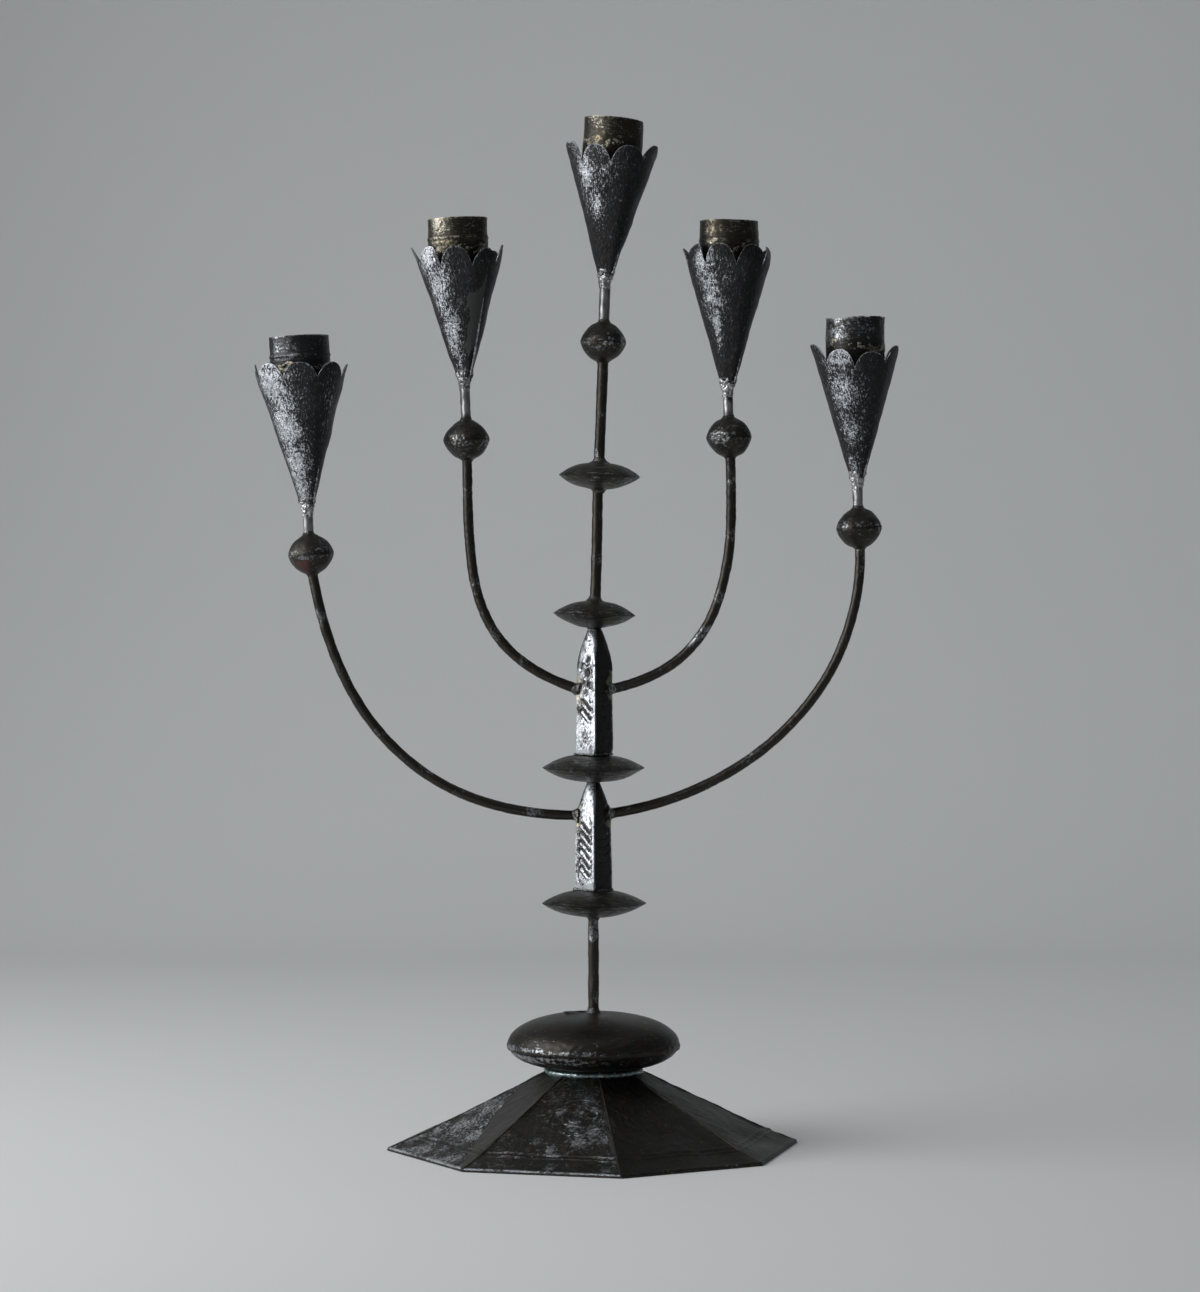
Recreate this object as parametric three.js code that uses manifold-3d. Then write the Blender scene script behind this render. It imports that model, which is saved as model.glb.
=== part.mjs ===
import * as THREE from 'three';
import { mergeVertices, toCreasedNormals } from 'three/addons/utils/BufferGeometryUtils.js';
import Module from 'manifold-3d';

// A candelabra for five candles, soldered up from tin sheet and iron rod.
// Millimetres and degrees, +Z up, the front toward -Y. Leans are positive toward +X, and turns
// run from the front toward +X. Heights are taken from the table.

// Stock
const thinSheet = 0.5; // discs, balls, cones and towers
const socketSheet = 0.6;
const heavySheet = 0.7; // base and knob
const stemRadius = 2.15;
const armRadius = 2;

// Room left between soldered pieces
const solderGap = 0.3;
const threadGap = 0.45; // round a rod, for what is threaded on it
const seatGap = 0.45; // under and over what stands between two shells

// Base
const baseSides = 8;
const baseTurn = 7.5; // of the front corner
const footRadius = 83; // over the corners
const footEdge = 0.9; // height of the folded edge
const hemWidth = 4.5; // of the strip turned in level on the table
const hipRadius = 69.8; // over the corners, where the rim band starts
const hipHeight = 6.1;
const skirtTopRadius = 20; // over the corners
const skirtTopHeight = 30.2;
const ridgeRise = 0.4;
const ridgeWidth = 1.4;
const ridgeSpacing = 2.6;

// Knob, a bun of two raised shells on the base
const knobRadius = 34.8;
const knobStand = 10.8; // seam above the skirt's top
const knobRise = 13; // above the seam
const knobDrop = 10; // below it
const knobRoundness = 2.2; // 2 is an ellipse, more is squarer
const knobLip = 0.8; // overlap of the upper shell at the seam
const knobLipHeight = 1.2;

// Stem, upright to its bend and leaning from there
const stemFootHeight = 27;
const stemBendHeight = 202;
const stemLean = 1.87;

// Discs threaded on the stem, from the lowest up
const discs = [
  { height: 98, radius: 21, rise: 5.3 },
  { height: 152.2, radius: 21, rise: 5.3 },
  { height: 213.7, radius: 16.4, rise: 5.2 },
  { height: 269, radius: 16.4, rise: 5.2 },
];
const discShape = { fullness: 2.7, roundness: 1 }; // half an ellipse is 2 and 0.5, a parabola 2 and 1
const discCollar = 0.6; // rise of the flare at the stem
const flareSteepness = 3; // of the flare at a disc's or ball's hole

// Tower sheet, folded square
const towerFoot = 7.5; // half width over the corners
const towerShoulder = 7.05; // the same below the shoulder
const shoulderLength = 16.2;
const shoulderFullness = 0.42; // how far up the shoulder stays wide
const ribLength = 8;
const ribWidth = 1.3;
const ribRise = 0.4;
const ribPitch = 3.3;
const ribSlant = -22;
const ribRoom = 4; // from the arms' joints down to the highest rib

// Balls, each of two shells, threaded on a rod below each light
const ballRadius = 9.3;
const ballRise = 7.8;
const ballShape = { fullness: 2.2, roundness: 0.62 };
const ballCollar = 0.5;

// Cones and sockets
const petals = 8;
const petalDepth = 6.4;
const notchRoom = 1; // below the notches, where the sheet is plain again
const lapTurn = 45; // of the cone's lapped seam
const lapAngle = 9;
const rodGrip = 5; // of the rod inside the cone's tip
const socketRadius = 12;
const floorSet = 2.5; // of the candle's floor above the socket's lower edge
const beadWidth = 1.8;
const beadDepth = 8; // of a socket's bead below its rim

// Lights, with what each differs by. Each ball stands at its reach from the stem and at its height.
// The neck is the rod from the ball's middle to the cone's tip. The cone, with its socket, has its
// own lean. A joint's depth is measured from the disc above its tower.
const middleBallHeight = 322.4;
const innerBallHeight = 283.9;
const innerReach = 52.4;
const outerBallHeight = 242.9;
const outerReach = 109.75;
const coneLength = 54.1;
const mouthRadius = 18.8;
const lights = [
  {
    name: 'middle', ballReach: 0, ballHeight: middleBallHeight, neckLength: 26.5, neckLean: stemLean,
    coneLength: coneLength - 0.8, mouthRadius: mouthRadius + 0.4, coneLean: 3.1, petalTurn: -1,
    socketRise: 9.8, beadRise: 0,
  },
  {
    name: 'inner_left', side: -1, ballReach: innerReach - 1.8, ballHeight: innerBallHeight - 0.5,
    neckLength: 24.8, neckLean: -2.3,
    coneLength: coneLength - 1.2, mouthRadius, coneLean: -2.5, petalTurn: -25.5,
    socketRise: 10.5, beadRise: 0.6,
    jointDepth: 29.7, jointTilt: 19, leadLength: 48.4, armLean: -1, trailLength: 52.9,
  },
  {
    name: 'inner_right', side: 1, ballReach: innerReach + 1.8, ballHeight: innerBallHeight + 0.5,
    neckLength: 21.2, neckLean: -1.6,
    coneLength: coneLength + 0.3, mouthRadius: mouthRadius - 0.5, coneLean: 0.4, petalTurn: -29.5,
    socketRise: 9.8, beadRise: 0.35,
    jointDepth: 29.9, jointTilt: 11.7, leadLength: 48, armLean: -3.6, trailLength: 52.2,
  },
  {
    name: 'outer_left', side: -1, ballReach: outerReach + 3.65, ballHeight: outerBallHeight - 5.3,
    neckLength: 20, neckLean: -2.9,
    coneLength: coneLength + 2.2, mouthRadius: mouthRadius + 0.5, coneLean: -2.8, petalTurn: -17,
    socketRise: 10.7, beadRise: 0.6,
    jointDepth: 19, jointTilt: 0, leadLength: 76.8, armLean: -6.5, trailLength: 45.6,
  },
  {
    name: 'outer_right', side: 1, ballReach: outerReach - 3.65, ballHeight: outerBallHeight + 5.3,
    neckLength: 20.2, neckLean: -2,
    coneLength: coneLength - 0.5, mouthRadius: mouthRadius - 0.5, coneLean: -0.8, petalTurn: -3,
    socketRise: 10.1, beadRise: 0,
    jointDepth: 18.2, jointTilt: 7.6, leadLength: 50.4, armLean: -5.4, trailLength: 67.2,
  },
];

// Towers, each standing on one disc under the next, with the two arms that it holds
const towers = [
  { name: 'lower_tower', below: discs[0], above: discs[1], ribs: 6, holds: ['outer_left', 'outer_right'] },
  { name: 'upper_tower', below: discs[1], above: discs[2], ribs: 3, holds: ['inner_left', 'inner_right'] },
];

// Facets
const knobFacets = 24;
const discFacets = 18;
const ballFacets = 12;
const socketFacets = 20;
const petalFacets = 6; // on each petal
const towerFacets = 8; // a corner and a face's middle by turns
const rodFacets = 8;
const jointFacets = 12; // round the hole for an arm
const knobSteps = { outside: 6, inside: 4 };
const lensSteps = { outside: 4, inside: 2 };
const shoulderSteps = 5;
const rodSteps = 18;
const weldDistance = 1e-4;
const creaseAngle = 35;

const finishes = {
  baseTin: { color: 0x5a5753, roughness: 0.5 },
  knobTin: { color: 0x53504b, roughness: 0.42 },
  towerTin: { color: 0x706f6c, roughness: 0.35 },
  darkTin: { color: 0x3e3c39, roughness: 0.4 },
  coneTin: { color: 0x4a4a4a, roughness: 0.4 },
  rod: { color: 0x35322f, roughness: 0.42 },
  solder: { color: 0x8d9698, roughness: 0.4 },
  socket: { color: 0x4d4536, roughness: 0.45 },
};

const radians = THREE.MathUtils.degToRad;
const wasm = await Module();
wasm.setup();

// One closed skin: shared corners become one, and faces without area go
function weld(geometry) {
  const bare = new THREE.BufferGeometry();
  bare.setAttribute('position', geometry.getAttribute('position'));
  bare.setIndex(geometry.getIndex());
  const skin = mergeVertices(bare, weldDistance);
  const corners = Array.from(skin.getIndex().array);
  const kept = [];
  for (let i = 0; i < corners.length; i += 3) {
    const [a, b, c] = corners.slice(i, i + 3);
    if (a !== b && b !== c && c !== a) kept.push(a, b, c);
  }
  skin.setIndex(kept);
  return skin;
}

function toSolid(geometry) {
  const skin = weld(geometry);
  const vertProperties = new Float32Array(skin.getAttribute('position').array);
  const triVerts = new Uint32Array(skin.getIndex().array);
  return new wasm.Manifold(new wasm.Mesh({ numProp: 3, vertProperties, triVerts }));
}

function fromSolid(solid) {
  const { vertProperties, triVerts } = solid.getMesh();
  const geometry = new THREE.BufferGeometry();
  geometry.setAttribute('position', new THREE.BufferAttribute(vertProperties, 3));
  geometry.setIndex(new THREE.BufferAttribute(triVerts, 1));
  return geometry;
}

// Turns an outline of [radius, height] points about +Z. It runs outward along the bottom first.
function revolve(outline, facets) {
  const onAxis = outline[0][0] === 0;
  const closed = onAxis ? outline : [...outline, outline[0]];
  const points = closed.map(([radius, height]) => new THREE.Vector2(radius, height));
  return weld(new THREE.LatheGeometry(points, facets).rotateX(Math.PI / 2));
}

// Skins a hollow form through rings of points: up the outside, then down the inside
function loft(rings) {
  const count = rings[0].length;
  const positions = rings.flat().flatMap((point) => point.toArray());
  const faces = [];
  rings.forEach((ring, row) => {
    const start = row * count;
    const above = ((row + 1) % rings.length) * count;
    for (let i = 0; i < count; i++) {
      const next = (i + 1) % count;
      faces.push(start + i, start + next, above + next);
      faces.push(start + i, above + next, above + i);
    }
  });
  const geometry = new THREE.BufferGeometry();
  geometry.setAttribute('position', new THREE.Float32BufferAttribute(positions, 3));
  geometry.setIndex(faces);
  return weld(geometry);
}

function sweep(path, radius) {
  const section = new THREE.Shape().absarc(0, 0, radius, 0, 2 * Math.PI);
  const options = { extrudePath: path, steps: rodSteps, curveSegments: rodFacets / 2 };
  return weld(new THREE.ExtrudeGeometry(section, options));
}

// Point at a turn from the front, a radius and a height
function polar(turn, radius, height) {
  return new THREE.Vector3(radius * Math.sin(turn), -radius * Math.cos(turn), height);
}

function leaning(lean, length) {
  return new THREE.Vector3(length * Math.sin(radians(lean)), 0, length * Math.cos(radians(lean)));
}

function piece(name, geometry, finish) {
  const material = new THREE.MeshStandardMaterial({ ...finish, metalness: 1 });
  const mesh = new THREE.Mesh(toCreasedNormals(geometry, radians(creaseAngle)), material);
  mesh.name = name;
  return mesh;
}

const candelabra = new THREE.Group();

// Base: eight sheet panels, mitred and soldered along the corners
const midFace = Math.cos(Math.PI / baseSides); // radius at a face's middle over radius at its corner
const rimSlope = (hipHeight - footEdge) / (footRadius - hipRadius);
const skirtSlope = (skirtTopHeight - hipHeight) / (hipRadius - skirtTopRadius);
const sheetDrop = heavySheet * Math.hypot(1, skirtSlope / midFace); // upright distance through the sheet

function skirtHeight(radius) {
  const slope = radius > hipRadius ? rimSlope : skirtSlope;
  return hipHeight + slope * (hipRadius - radius);
}

// Outside of the skirt over a corner, from the foot up, with its two ridges
function skirtLine() {
  const line = [[footRadius, footEdge]];
  for (const radius of [hipRadius + ridgeSpacing, hipRadius]) {
    line.push([radius + ridgeWidth / 2, skirtHeight(radius + ridgeWidth / 2)]);
    line.push([radius, skirtHeight(radius) + ridgeRise]);
    line.push([radius - ridgeWidth / 2, skirtHeight(radius - ridgeWidth / 2)]);
  }
  line.push([skirtTopRadius, skirtTopHeight]);
  return line;
}

function panelOutline() {
  const outside = skirtLine();
  const inside = outside.slice(1).reverse().map(([radius, height]) => [radius, height - sheetDrop]);
  const crease = footRadius - (heavySheet + sheetDrop - footEdge) / rimSlope; // inside of the hem's fold
  const hem = [[crease, heavySheet], [footRadius - hemWidth, heavySheet], [footRadius - hemWidth, 0]];
  return [[footRadius, 0], ...outside, ...inside, ...hem];
}

// The panel faces +X here
function panelGeometry() {
  const corners = panelOutline().map(([radius, height]) => new THREE.Vector2(radius * midFace, height));
  const width = 2 * footRadius;
  const strip = new THREE.ExtrudeGeometry(new THREE.Shape(corners), { depth: width, bevelEnabled: false });
  strip.translate(0, 0, -width / 2).rotateX(Math.PI / 2);
  const apex = solderGap / 2 / Math.sin(Math.PI / baseSides);
  const spread = (width - apex) * Math.tan(Math.PI / baseSides);
  const wedge = new THREE.Shape([
    new THREE.Vector2(apex, 0),
    new THREE.Vector2(width, -spread),
    new THREE.Vector2(width, spread),
  ]);
  const mitres = new THREE.ExtrudeGeometry(wedge, { depth: 2 * width, bevelEnabled: false });
  mitres.translate(0, 0, -width);
  return fromSolid(toSolid(strip).intersect(toSolid(mitres)));
}

const panel = panelGeometry();
for (let i = 0; i < baseSides; i++) {
  const turn = radians(baseTurn) + (2 * Math.PI * (i - 0.5)) / baseSides;
  const mesh = piece(`base_panel_${i + 1}`, panel, finishes.baseTin);
  mesh.rotation.z = turn - Math.PI / 2;
  candelabra.add(mesh);
}

// Knob
const knobSeamHeight = skirtTopHeight + knobStand;
const stemHole = stemRadius + threadGap;

// Half a bun's section from its rim to the hole, starting at a height above the rim
function bunArc(radius, rise, start, steps) {
  const radiusAt = (height) => radius * (1 - (height / rise) ** knobRoundness) ** (1 / knobRoundness);
  const heightAt = (r) => rise * (1 - (r / radius) ** knobRoundness) ** (1 / knobRoundness);
  const first = Math.asin(start / rise);
  const arc = [];
  for (let i = 0; i < steps; i++) {
    const height = rise * Math.sin(first + ((Math.PI / 2 - first) * i) / steps);
    arc.push([radiusAt(height), height]);
  }
  arc.push([stemHole, heightAt(stemHole)]);
  return arc;
}

function knobShell(radius, rise, lip, lipHeight) {
  const lipEdge = lip > 0 ? [[radius, 0], [radius, lipHeight]] : [];
  const outside = bunArc(radius - lip, rise, lipHeight, knobSteps.outside);
  const inside = bunArc(radius - lip - heavySheet, rise - heavySheet, 0, knobSteps.inside);
  return revolve([...lipEdge, ...outside, ...inside.reverse()], knobFacets);
}

function knobUnderside(radius) {
  const share = radius / (knobRadius - knobLip);
  return knobSeamHeight - knobDrop * (1 - share ** knobRoundness) ** (1 / knobRoundness);
}

const knobUpperShell = knobShell(knobRadius, knobRise, knobLip, knobLipHeight);
const knobUpper = piece('knob_upper_shell', knobUpperShell, finishes.knobTin);
knobUpper.position.z = knobSeamHeight + solderGap / 2;
const knobLowerShell = knobShell(knobRadius - knobLip, knobDrop, 0, 0);
const knobLower = piece('knob_lower_shell', knobLowerShell, finishes.knobTin);
knobLower.rotation.x = Math.PI;
knobLower.position.z = knobSeamHeight - solderGap / 2;
candelabra.add(knobUpper, knobLower);

// Collar: an upright octagonal band in the skirt's opening, which carries the knob
const collarRadius = skirtTopRadius - solderGap;
const collarInside = collarRadius - heavySheet / midFace;
const collarFoot = skirtTopHeight - sheetDrop;
const collarTop = knobUnderside(collarInside * midFace) - seatGap;
const collarOutline = [
  [collarInside, collarFoot],
  [collarRadius, collarFoot],
  [collarRadius, collarTop],
  [collarInside, collarTop],
];
const collar = piece('base_collar', revolve(collarOutline, baseSides), finishes.solder);
collar.rotation.z = radians(baseTurn);
candelabra.add(collar);

// Stem
function stemPoint(height) {
  const leaned = Math.max(0, height - stemBendHeight);
  return new THREE.Vector3(leaned * Math.tan(radians(stemLean)), 0, height);
}

function stemLeanAt(height) {
  return height > stemBendHeight ? stemLean : 0;
}

const middle = lights.find((light) => light.name === 'middle');
const middleBall = stemPoint(middle.ballHeight);
const stemTop = middleBall.z + leaning(stemLean, middle.neckLength + rodGrip).z;
const stemPath = new THREE.CurvePath();
stemPath.add(new THREE.LineCurve3(stemPoint(stemFootHeight), stemPoint(stemBendHeight)));
stemPath.add(new THREE.LineCurve3(stemPoint(stemBendHeight), stemPoint(stemTop)));
candelabra.add(piece('stem_rod', sweep(stemPath, stemRadius), finishes.rod));

// Half of a lens with a flare round its hole, from the rim up
function lensShare(radius, lens) {
  return (1 - (radius / lens.radius) ** lens.fullness) ** lens.roundness;
}

function lensHeight(radius, lens) {
  const flare = (lens.hole / radius) ** flareSteepness - (lens.hole / lens.radius) ** flareSteepness;
  return lens.rise * lensShare(radius, lens) + lens.collar * flare;
}

function lensArc(lens, steps) {
  const holeShare = lensShare(lens.hole, lens);
  const arc = [];
  for (let i = 0; i <= steps; i++) {
    const share = holeShare * Math.sin((Math.PI / 2) * (i / steps));
    const radius = lens.radius * (1 - share ** (1 / lens.roundness)) ** (1 / lens.fullness);
    arc.push([radius, lensHeight(radius, lens)]);
  }
  return arc;
}

function lensShell(lens, facets) {
  const outside = lensArc(lens, lensSteps.outside);
  const edgeSlope = outside[1][1] / (lens.radius - outside[1][0]);
  const rimWidth = (thinSheet * Math.hypot(1, edgeSlope)) / edgeSlope;
  const hollow = { ...lens, radius: lens.radius - rimWidth, rise: lens.rise - thinSheet };
  return revolve([...outside, ...lensArc(hollow, lensSteps.inside).reverse()], facets);
}

// Two equal shells, rim to rim
function lensPair(name, lens, facets) {
  const shell = lensShell(lens, facets);
  const upper = piece(`${name}_upper_shell`, shell, finishes.darkTin);
  upper.position.z = solderGap / 2;
  const lower = piece(`${name}_lower_shell`, shell, finishes.darkTin);
  lower.rotation.x = Math.PI;
  lower.position.z = -solderGap / 2;
  return new THREE.Group().add(upper, lower);
}

// Discs
function discLens(disc) {
  return { ...disc, ...discShape, hole: stemHole, collar: discCollar };
}

discs.forEach((disc, i) => {
  const pair = lensPair(`disc_${i + 1}`, discLens(disc), discFacets);
  pair.position.copy(stemPoint(disc.height));
  pair.rotation.y = radians(stemLeanAt(disc.height));
  candelabra.add(pair);
});

// Towers
const jointClearance = armRadius + solderGap;

function jointHeight(light) {
  const tower = towers.find(({ holds }) => holds.includes(light.name));
  return tower.above.height - light.jointDepth;
}

// A ring that is square at roundness 0 and round at 1. Its corners point to the front and the sides.
function towerRing(corner, roundness, height, wall) {
  const square = (turn) => 1 / (Math.abs(Math.sin(turn)) + Math.abs(Math.cos(turn)));
  const radiusAt = (turn) => corner * ((1 - roundness) * square(turn) + roundness);
  const inset = 1 - wall / radiusAt(Math.PI / 4);
  const ring = [];
  for (let i = 0; i < towerFacets; i++) {
    const turn = (2 * Math.PI * i) / towerFacets;
    ring.push(polar(turn, radiusAt(turn) * inset, height));
  }
  return ring;
}

function towerSheet(foot, shoulder, top) {
  const stations = [{ corner: towerFoot, roundness: 0, height: foot }];
  const topRadius = stemHole + thinSheet;
  const widest = shoulder + shoulderFullness * shoulderLength;
  const curve = new THREE.QuadraticBezierCurve(
    new THREE.Vector2(towerShoulder, shoulder),
    new THREE.Vector2(towerShoulder, widest),
    new THREE.Vector2(topRadius, top),
  );
  for (let i = 0; i <= shoulderSteps; i++) {
    const share = i / shoulderSteps;
    const point = curve.getPoint(share);
    stations.push({ corner: point.x, roundness: share ** 2, height: point.y });
  }
  const outside = stations.map((s) => towerRing(s.corner, s.roundness, s.height, 0));
  const inside = stations.map((s) => towerRing(s.corner, s.roundness, s.height, thinSheet));
  return loft([...outside, ...inside.reverse()]);
}

// One raised rib, slanting across a tower's face. It faces +Z here.
function ribGeometry() {
  const end = (ribLength - ribWidth) / 2;
  const outline = new THREE.Shape();
  outline.absarc(end, 0, ribWidth / 2, -Math.PI / 2, Math.PI / 2);
  outline.absarc(-end, 0, ribWidth / 2, Math.PI / 2, (3 * Math.PI) / 2);
  const options = { depth: ribRise + thinSheet / 2, bevelEnabled: false, curveSegments: 1 };
  return new THREE.ExtrudeGeometry(outline, options).rotateZ(radians(ribSlant));
}

// Rib at a height on the face that looks toward a turn, sunk half way into the sheet
function placedRib(turn, height, corner) {
  const outward = polar(turn, 1, 0);
  const along = polar(turn + Math.PI / 2, 1, 0);
  const face = corner / Math.SQRT2 - thinSheet / 2;
  const place = new THREE.Matrix4().makeBasis(along, new THREE.Vector3(0, 0, 1), outward);
  place.setPosition(outward.multiplyScalar(face).setZ(height));
  return ribGeometry().applyMatrix4(place);
}

function towerGeometry(foot, top, joints, ribs) {
  const shoulder = top - shoulderLength;
  let solid = toSolid(towerSheet(foot, shoulder, top));
  const highestRib = Math.min(...joints.map(jointHeight)) - jointClearance - ribRoom;
  for (let i = 0; i < ribs; i++) {
    const height = highestRib - i * ribPitch;
    const corner = THREE.MathUtils.mapLinear(height, foot, shoulder, towerFoot, towerShoulder);
    for (const turn of [-3, -1, 1, 3]) {
      solid = solid.add(toSolid(placedRib((turn * Math.PI) / 4, height, corner)));
    }
  }
  for (const joint of joints) {
    const hole = new THREE.CylinderGeometry(jointClearance, jointClearance, 2 * towerFoot, jointFacets);
    hole.rotateZ(Math.PI / 2).translate(towerFoot, 0, 0);
    hole.rotateY(-radians(joint.jointTilt)).scale(joint.side, 1, 1);
    hole.translate(0, 0, jointHeight(joint) - jointDrop(joint));
    solid = solid.subtract(toSolid(joint.side < 0 ? flipped(hole) : hole));
  }
  return fromSolid(solid);
}

// A mirrored geometry with its faces turned out again
function flipped(geometry) {
  const faces = Array.from(geometry.getIndex().array);
  geometry.setIndex(faces.reverse());
  return geometry;
}

// How much lower an arm would cross the stem's middle than it leaves the tower's corner
function jointDrop(joint) {
  return towerShoulder * Math.tan(radians(joint.jointTilt));
}

for (const { name, below, above, ribs, holds } of towers) {
  const wallInside = towerFoot / Math.SQRT2 - thinSheet;
  const foot = below.height + lensHeight(wallInside, discLens(below)) + seatGap;
  const top = above.height - lensHeight(stemHole, discLens(above)) - seatGap;
  const joints = lights.filter((light) => holds.includes(light.name));
  candelabra.add(piece(name, towerGeometry(foot, top, joints, ribs), finishes.towerTin));
}

// Arms: from the stem out through the tower's corner, along a bend, and up the neck into the cone's tip
function ballPoint(light) {
  if (!light.side) return middleBall.clone();
  return new THREE.Vector3(light.side * light.ballReach, 0, light.ballHeight);
}

// Way in which an arm leaves its tower
function jointWay(light) {
  const rise = radians(light.jointTilt);
  return new THREE.Vector3(light.side * Math.cos(rise), 0, Math.sin(rise));
}

function armBend(light) {
  const corner = new THREE.Vector3(light.side * towerShoulder, 0, jointHeight(light));
  const ball = ballPoint(light);
  return new THREE.CubicBezierCurve3(
    corner,
    corner.clone().addScaledVector(jointWay(light), light.leadLength),
    ball.clone().sub(leaning(light.armLean, light.trailLength)),
    ball,
  );
}

function armPath(light) {
  const bend = armBend(light);
  const way = jointWay(light);
  const inset = stemRadius + solderGap + armRadius * way.z;
  const start = bend.v0.clone().addScaledVector(way, -(towerShoulder - inset) / Math.abs(way.x));
  const end = bend.v3.clone().add(leaning(light.neckLean, light.neckLength + rodGrip));
  const path = new THREE.CurvePath();
  path.add(new THREE.LineCurve3(start, bend.v0));
  path.add(bend);
  path.add(new THREE.LineCurve3(bend.v3, end));
  return path;
}

for (const light of lights.filter(({ side }) => side)) {
  candelabra.add(piece(`${light.name}_arm`, sweep(armPath(light), armRadius), finishes.rod));
}

// Cone, rolled from one sheet with a lapped seam and cut into petals
function coneForm(light) {
  const rodRadius = light.side ? armRadius : stemRadius;
  const slope = (light.mouthRadius - rodRadius - solderGap - thinSheet) / light.coneLength;
  const across = thinSheet * Math.hypot(1, slope); // level distance through the sheet
  const tip = rodRadius + solderGap + across;
  return { slope: (light.mouthRadius - tip) / light.coneLength, across, tip };
}

function petalHeight(turn, light) {
  const share = THREE.MathUtils.euclideanModulo((turn - radians(light.petalTurn)) * petals, 2 * Math.PI);
  const across = share / Math.PI - 1; // -1 and 1 in the notches, 0 at the petal's middle
  return light.coneLength - petalDepth + petalDepth * Math.sqrt(Math.max(0, 1 - across ** 2));
}

// Columns of the sheet round the cone, from the lap on. Each edge of the lap has two columns,
// one on either side of its step.
function coneColumns(light) {
  const step = 360 / (petals * petalFacets);
  const between = (from, to) => {
    const turns = [];
    for (let i = Math.floor((from - light.petalTurn) / step) + 1; light.petalTurn + i * step < to; i++) {
      turns.push(light.petalTurn + i * step);
    }
    return turns;
  };
  const start = lapTurn - lapAngle / 2;
  const end = lapTurn + lapAngle / 2;
  const lap = [start, ...between(start, end), end].map((turn) => ({ turn, lift: thinSheet }));
  const rest = [end, ...between(end, start + 360), start + 360].map((turn) => ({ turn, lift: 0 }));
  return [...lap, ...rest];
}

function coneGeometry(light) {
  const form = coneForm(light);
  const columns = coneColumns(light);
  const belt = light.coneLength - petalDepth - notchRoom; // last level ring
  const levels = [() => 0, () => belt, (turn) => petalHeight(turn, light)];
  const outside = levels.map((level) => columns.map((column) => {
    const turn = radians(column.turn);
    const radius = form.tip + form.slope * level(turn) + column.lift;
    return polar(turn, radius, level(turn));
  }));
  const inside = levels.map((level) => columns.map((column) => {
    const turn = radians(column.turn);
    return polar(turn, form.tip + form.slope * level(turn) - form.across, level(turn));
  }));
  return loft([...outside, ...inside.reverse()]);
}

// Socket, wedged in the cone where the cone has narrowed to its size
function socketSeat(light) {
  const form = coneForm(light);
  return (socketRadius + solderGap - (form.tip - form.across)) / form.slope;
}

function socketGeometry(light, length) {
  const inside = socketRadius - socketSheet;
  const bead = [];
  if (light.beadRise > 0) {
    const middleHeight = length - beadDepth;
    bead.push([0, middleHeight - beadWidth / 2]);
    bead.push([light.beadRise, middleHeight]);
    bead.push([0, middleHeight + beadWidth / 2]);
  }
  const outer = bead.map(([rise, height]) => [socketRadius + rise, height]);
  const inner = bead.map(([rise, height]) => [inside + rise, height]).reverse();
  const foot = [[inside, 0], [socketRadius, 0]];
  const rim = [[socketRadius, length], [inside, length]];
  return revolve([...foot, ...outer, ...rim, ...inner], socketFacets);
}

function floorGeometry() {
  const radius = socketRadius - socketSheet - solderGap;
  return revolve([[0, 0], [radius, 0], [radius, thinSheet], [0, thinSheet]], socketFacets);
}

function cup(light) {
  const seat = socketSeat(light);
  const length = light.coneLength + light.socketRise - seat;
  const cone = piece(`${light.name}_cone`, coneGeometry(light), finishes.coneTin);
  const socket = piece(`${light.name}_socket`, socketGeometry(light, length), finishes.socket);
  socket.position.z = seat;
  const floor = piece(`${light.name}_socket_floor`, floorGeometry(), finishes.socket);
  floor.position.z = seat + floorSet;
  return new THREE.Group().add(cone, socket, floor);
}

// Ball, threaded so that the rod is in the middle of both its holes
function ball(light) {
  const rodRadius = light.side ? armRadius : stemRadius;
  const hole = rodRadius + threadGap;
  const lens = { radius: ballRadius, rise: ballRise, ...ballShape, collar: ballCollar, hole };
  const pair = lensPair(`${light.name}_ball`, lens, ballFacets);
  const above = ballPoint(light).add(leaning(light.neckLean, ballRise));
  const below = stemPoint(light.ballHeight - ballRise);
  if (light.side) {
    const bend = armBend(light);
    below.copy(bend.getPointAt(1 - ballRise / bend.getLength()));
  }
  pair.position.lerpVectors(below, above, 0.5);
  pair.rotation.y = Math.atan2(above.x - below.x, above.z - below.z);
  return pair;
}

for (const light of lights) {
  const top = cup(light);
  top.position.copy(ballPoint(light)).add(leaning(light.neckLean, light.neckLength));
  top.rotation.y = radians(light.coneLean);
  candelabra.add(ball(light), top);
}

// The origin is under the middle of the whole, on the table
const box = new THREE.Box3().setFromObject(candelabra, true);
candelabra.position.x = -(box.min.x + box.max.x) / 2;

export default candelabra;
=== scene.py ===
import math

import bmesh
import bpy
import numpy as np
from mathutils import Matrix, Vector


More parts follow.
